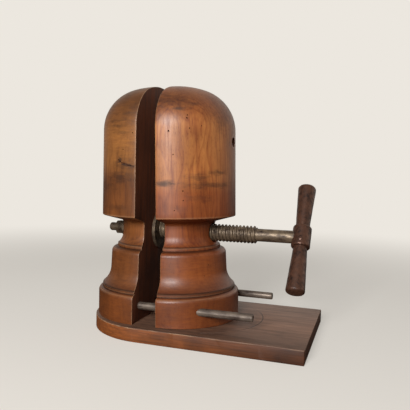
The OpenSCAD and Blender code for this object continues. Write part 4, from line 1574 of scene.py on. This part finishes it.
class HATFORM_OT_stage(bpy.types.Operator):
    """Set the camera, the lamp, the pale floor and the background"""

    bl_idname = "hatform.stage"
    bl_label = "Stage"

    def camera(self, s):
        """The camera at the photograph's viewing angle."""
        yaw, pitch, roll = (math.radians(a) for a in (s.camera_yaw, s.camera_pitch, s.camera_roll))
        ahead = Vector((-math.sin(yaw) * math.cos(pitch), math.cos(yaw) * math.cos(pitch), math.sin(pitch)))
        right = Vector((math.cos(yaw), math.sin(yaw), 0))
        up = right.cross(ahead)
        across = right * math.cos(roll) + up * math.sin(roll)
        upward = -right * math.sin(roll) + up * math.cos(roll)
        turn = Matrix((across, upward, -ahead)).transposed().to_4x4()
        bpy.ops.object.camera_add()
        camera = bpy.context.object
        camera.name = "stage_camera"
        camera.matrix_world = Matrix.Translation(s.camera_at) @ turn
        camera.data.lens = s.lens
        camera.data.sensor_width = SENSOR
        camera.data.sensor_fit = "HORIZONTAL"
        camera.data.clip_start = 0.01
        camera.data.clip_end = 200
        bpy.context.scene.camera = camera

    def lamp(self, name, towards, distance, size, power, aim):
        """One soft lamp that looks at the object."""
        direction = Vector(towards).normalized()
        bpy.ops.object.light_add(type="AREA", location=Vector(aim) + direction * distance)
        lamp = bpy.context.object
        lamp.name = name
        lamp.rotation_euler = direction.to_track_quat("Z", "Y").to_euler()
        lamp.data.shape = "DISK"
        lamp.data.size = size
        lamp.data.energy = power
        return lamp

    def floor(self, s):
        """A plain pale floor that keeps the shadow and fades into the background."""
        deselect()
        bpy.ops.mesh.primitive_plane_add(size=2 * FLOOR_HALF)
        floor = named("stage_floor")
        material, tree, shader, coordinates = blank_material("plain_pale_floor")
        shader.inputs["Roughness"].default_value = 0.9
        shader.inputs["Specular IOR Level"].default_value = 0.0
        away = node(tree, "ShaderNodeVectorMath", {0: coordinates}, operation="LENGTH").outputs["Value"]
        far = node(
            tree,
            "ShaderNodeMapRange",
            {"Value": away, 1: CLEAR_FROM, 2: CLEAR_TO},
            interpolation_type="SMOOTHSTEP",
        ).outputs[0]
        # The camera sees a pale floor, but it throws back little light, as a dark surface does
        seen = node(tree, "ShaderNodeLightPath").outputs["Is Camera Ray"]
        colour = node(
            tree, "ShaderNodeMix", {0: seen, 6: s.bounce, 7: s.backdrop}, data_type="RGBA"
        ).outputs[2]
        tree.links.new(colour, shader.inputs["Base Color"])
        far = node(tree, "ShaderNodeMapRange", {"Value": far, 3: FLOOR_GLOW, 4: 1.0}).outputs[0]
        part = node(tree, "ShaderNodeMath", {0: far, 1: seen}, operation="MULTIPLY").outputs[0]
        pale = node(tree, "ShaderNodeEmission", {"Color": s.backdrop, "Strength": 1.0})
        mixed = node(tree, "ShaderNodeMixShader", {0: part, 1: shader.outputs[0], 2: pale.outputs[0]})
        output = [n for n in tree.nodes if n.type == "OUTPUT_MATERIAL"][0]
        tree.links.new(mixed.outputs[0], output.inputs["Surface"])
        floor.data.materials.append(material)

    def world(self, s):
        """Even light from all round, and a pale background for the camera and for reflections."""
        world = bpy.data.worlds.new("pale_room")
        bpy.context.scene.world = world
        world.use_nodes = True
        tree = world.node_tree
        tree.nodes.clear()
        path = node(tree, "ShaderNodeLightPath")
        seen = node(
            tree, "ShaderNodeMath",
            {0: path.outputs["Is Camera Ray"], 1: path.outputs["Is Transmission Ray"]},
            operation="MAXIMUM",
        ).outputs[0]
        # The surroundings are darker before the object than behind it
        way = node(tree, "ShaderNodeSeparateXYZ", {0: node(tree, "ShaderNodeTexCoord").outputs["Generated"]})
        behind = node(
            tree, "ShaderNodeMath", {0: way.outputs["X"], 1: 0.35, 2: way.outputs["Y"]},
            operation="MULTIPLY_ADD"
        )
        part = node(
            tree,
            "ShaderNodeMapRange",
            {"Value": behind.outputs[0], 1: -0.25, 2: 0.75},
            interpolation_type="SMOOTHSTEP",
        ).outputs[0]
        dull = node(
            tree, "ShaderNodeMapRange", {"Value": part, 3: s.fill_strength, 4: 2.4 * s.fill_strength}
        ).outputs[0]
        shiny = node(tree, "ShaderNodeMapRange", {"Value": part, 3: s.fill_strength, 4: 0.95}).outputs[0]
        room = node(tree, "ShaderNodeMix", {0: path.outputs["Is Glossy Ray"], 2: dull, 3: shiny}).outputs[0]
        strength = node(tree, "ShaderNodeMix", {0: seen, 2: room, 3: 1.0}).outputs[0]
        light = node(tree, "ShaderNodeBackground", {"Color": s.backdrop, "Strength": strength})
        node(tree, "ShaderNodeOutputWorld", {"Surface": light.outputs[0]})

    def execute(self, context):
        s = context.scene.hatform_stage
        deselect()
        self.camera(s)
        middle = (0.06, 0, 0.2)
        self.lamp("stage_key", KEY_TOWARDS, KEY_DISTANCE, KEY_SIZE, s.key_power, middle)
        self.floor(s)
        self.world(s)
        context.scene.view_settings.view_transform = "Standard"
        return {"FINISHED"}


class HATFORM_PT_panel(bpy.types.Panel):
    """Lists the pieces of the hat form in the 3D view's sidebar."""

    bl_idname = "HATFORM_PT_panel"
    bl_label = "Hat Form"
    bl_space_type = "VIEW_3D"
    bl_region_type = "UI"
    bl_category = "Hat Form"

    def draw(self, context):
        column = self.layout.column()
        for operator in OPERATORS:
            column.operator(operator.bl_idname)


GROUPS = {
    "hatform_turning": HatFormTurning,
    "hatform_screw": HatFormScrew,
    "hatform_colours": HatFormColours,
    "hatform_stage": HatFormStage,
}
OPERATORS = (
    HATFORM_OT_turned_halves,
    HATFORM_OT_board,
    HATFORM_OT_guide_rods,
    HATFORM_OT_lead_screw,
    HATFORM_OT_plates,
    HATFORM_OT_fasteners,
    HATFORM_OT_handle,
    HATFORM_OT_stage,
)


def register():
    for name, group in GROUPS.items():
        bpy.utils.register_class(group)
        setattr(bpy.types.Scene, name, PointerProperty(type=group))
    for operator in OPERATORS:
        bpy.utils.register_class(operator)
    bpy.utils.register_class(HATFORM_PT_panel)


def unregister():
    bpy.utils.unregister_class(HATFORM_PT_panel)
    for operator in reversed(OPERATORS):
        bpy.utils.unregister_class(operator)
    for name, group in reversed(GROUPS.items()):
        delattr(bpy.types.Scene, name)
        bpy.utils.unregister_class(group)


def main():
    """Makes every piece and the stage."""
    register()
    bpy.ops.hatform.turned_halves()
    bpy.ops.hatform.board()
    bpy.ops.hatform.guide_rods()
    bpy.ops.hatform.lead_screw()
    bpy.ops.hatform.plates()
    bpy.ops.hatform.fasteners()
    bpy.ops.hatform.handle()
    bpy.ops.hatform.stage()
    deselect()


if __name__ == "__main__":
    main()
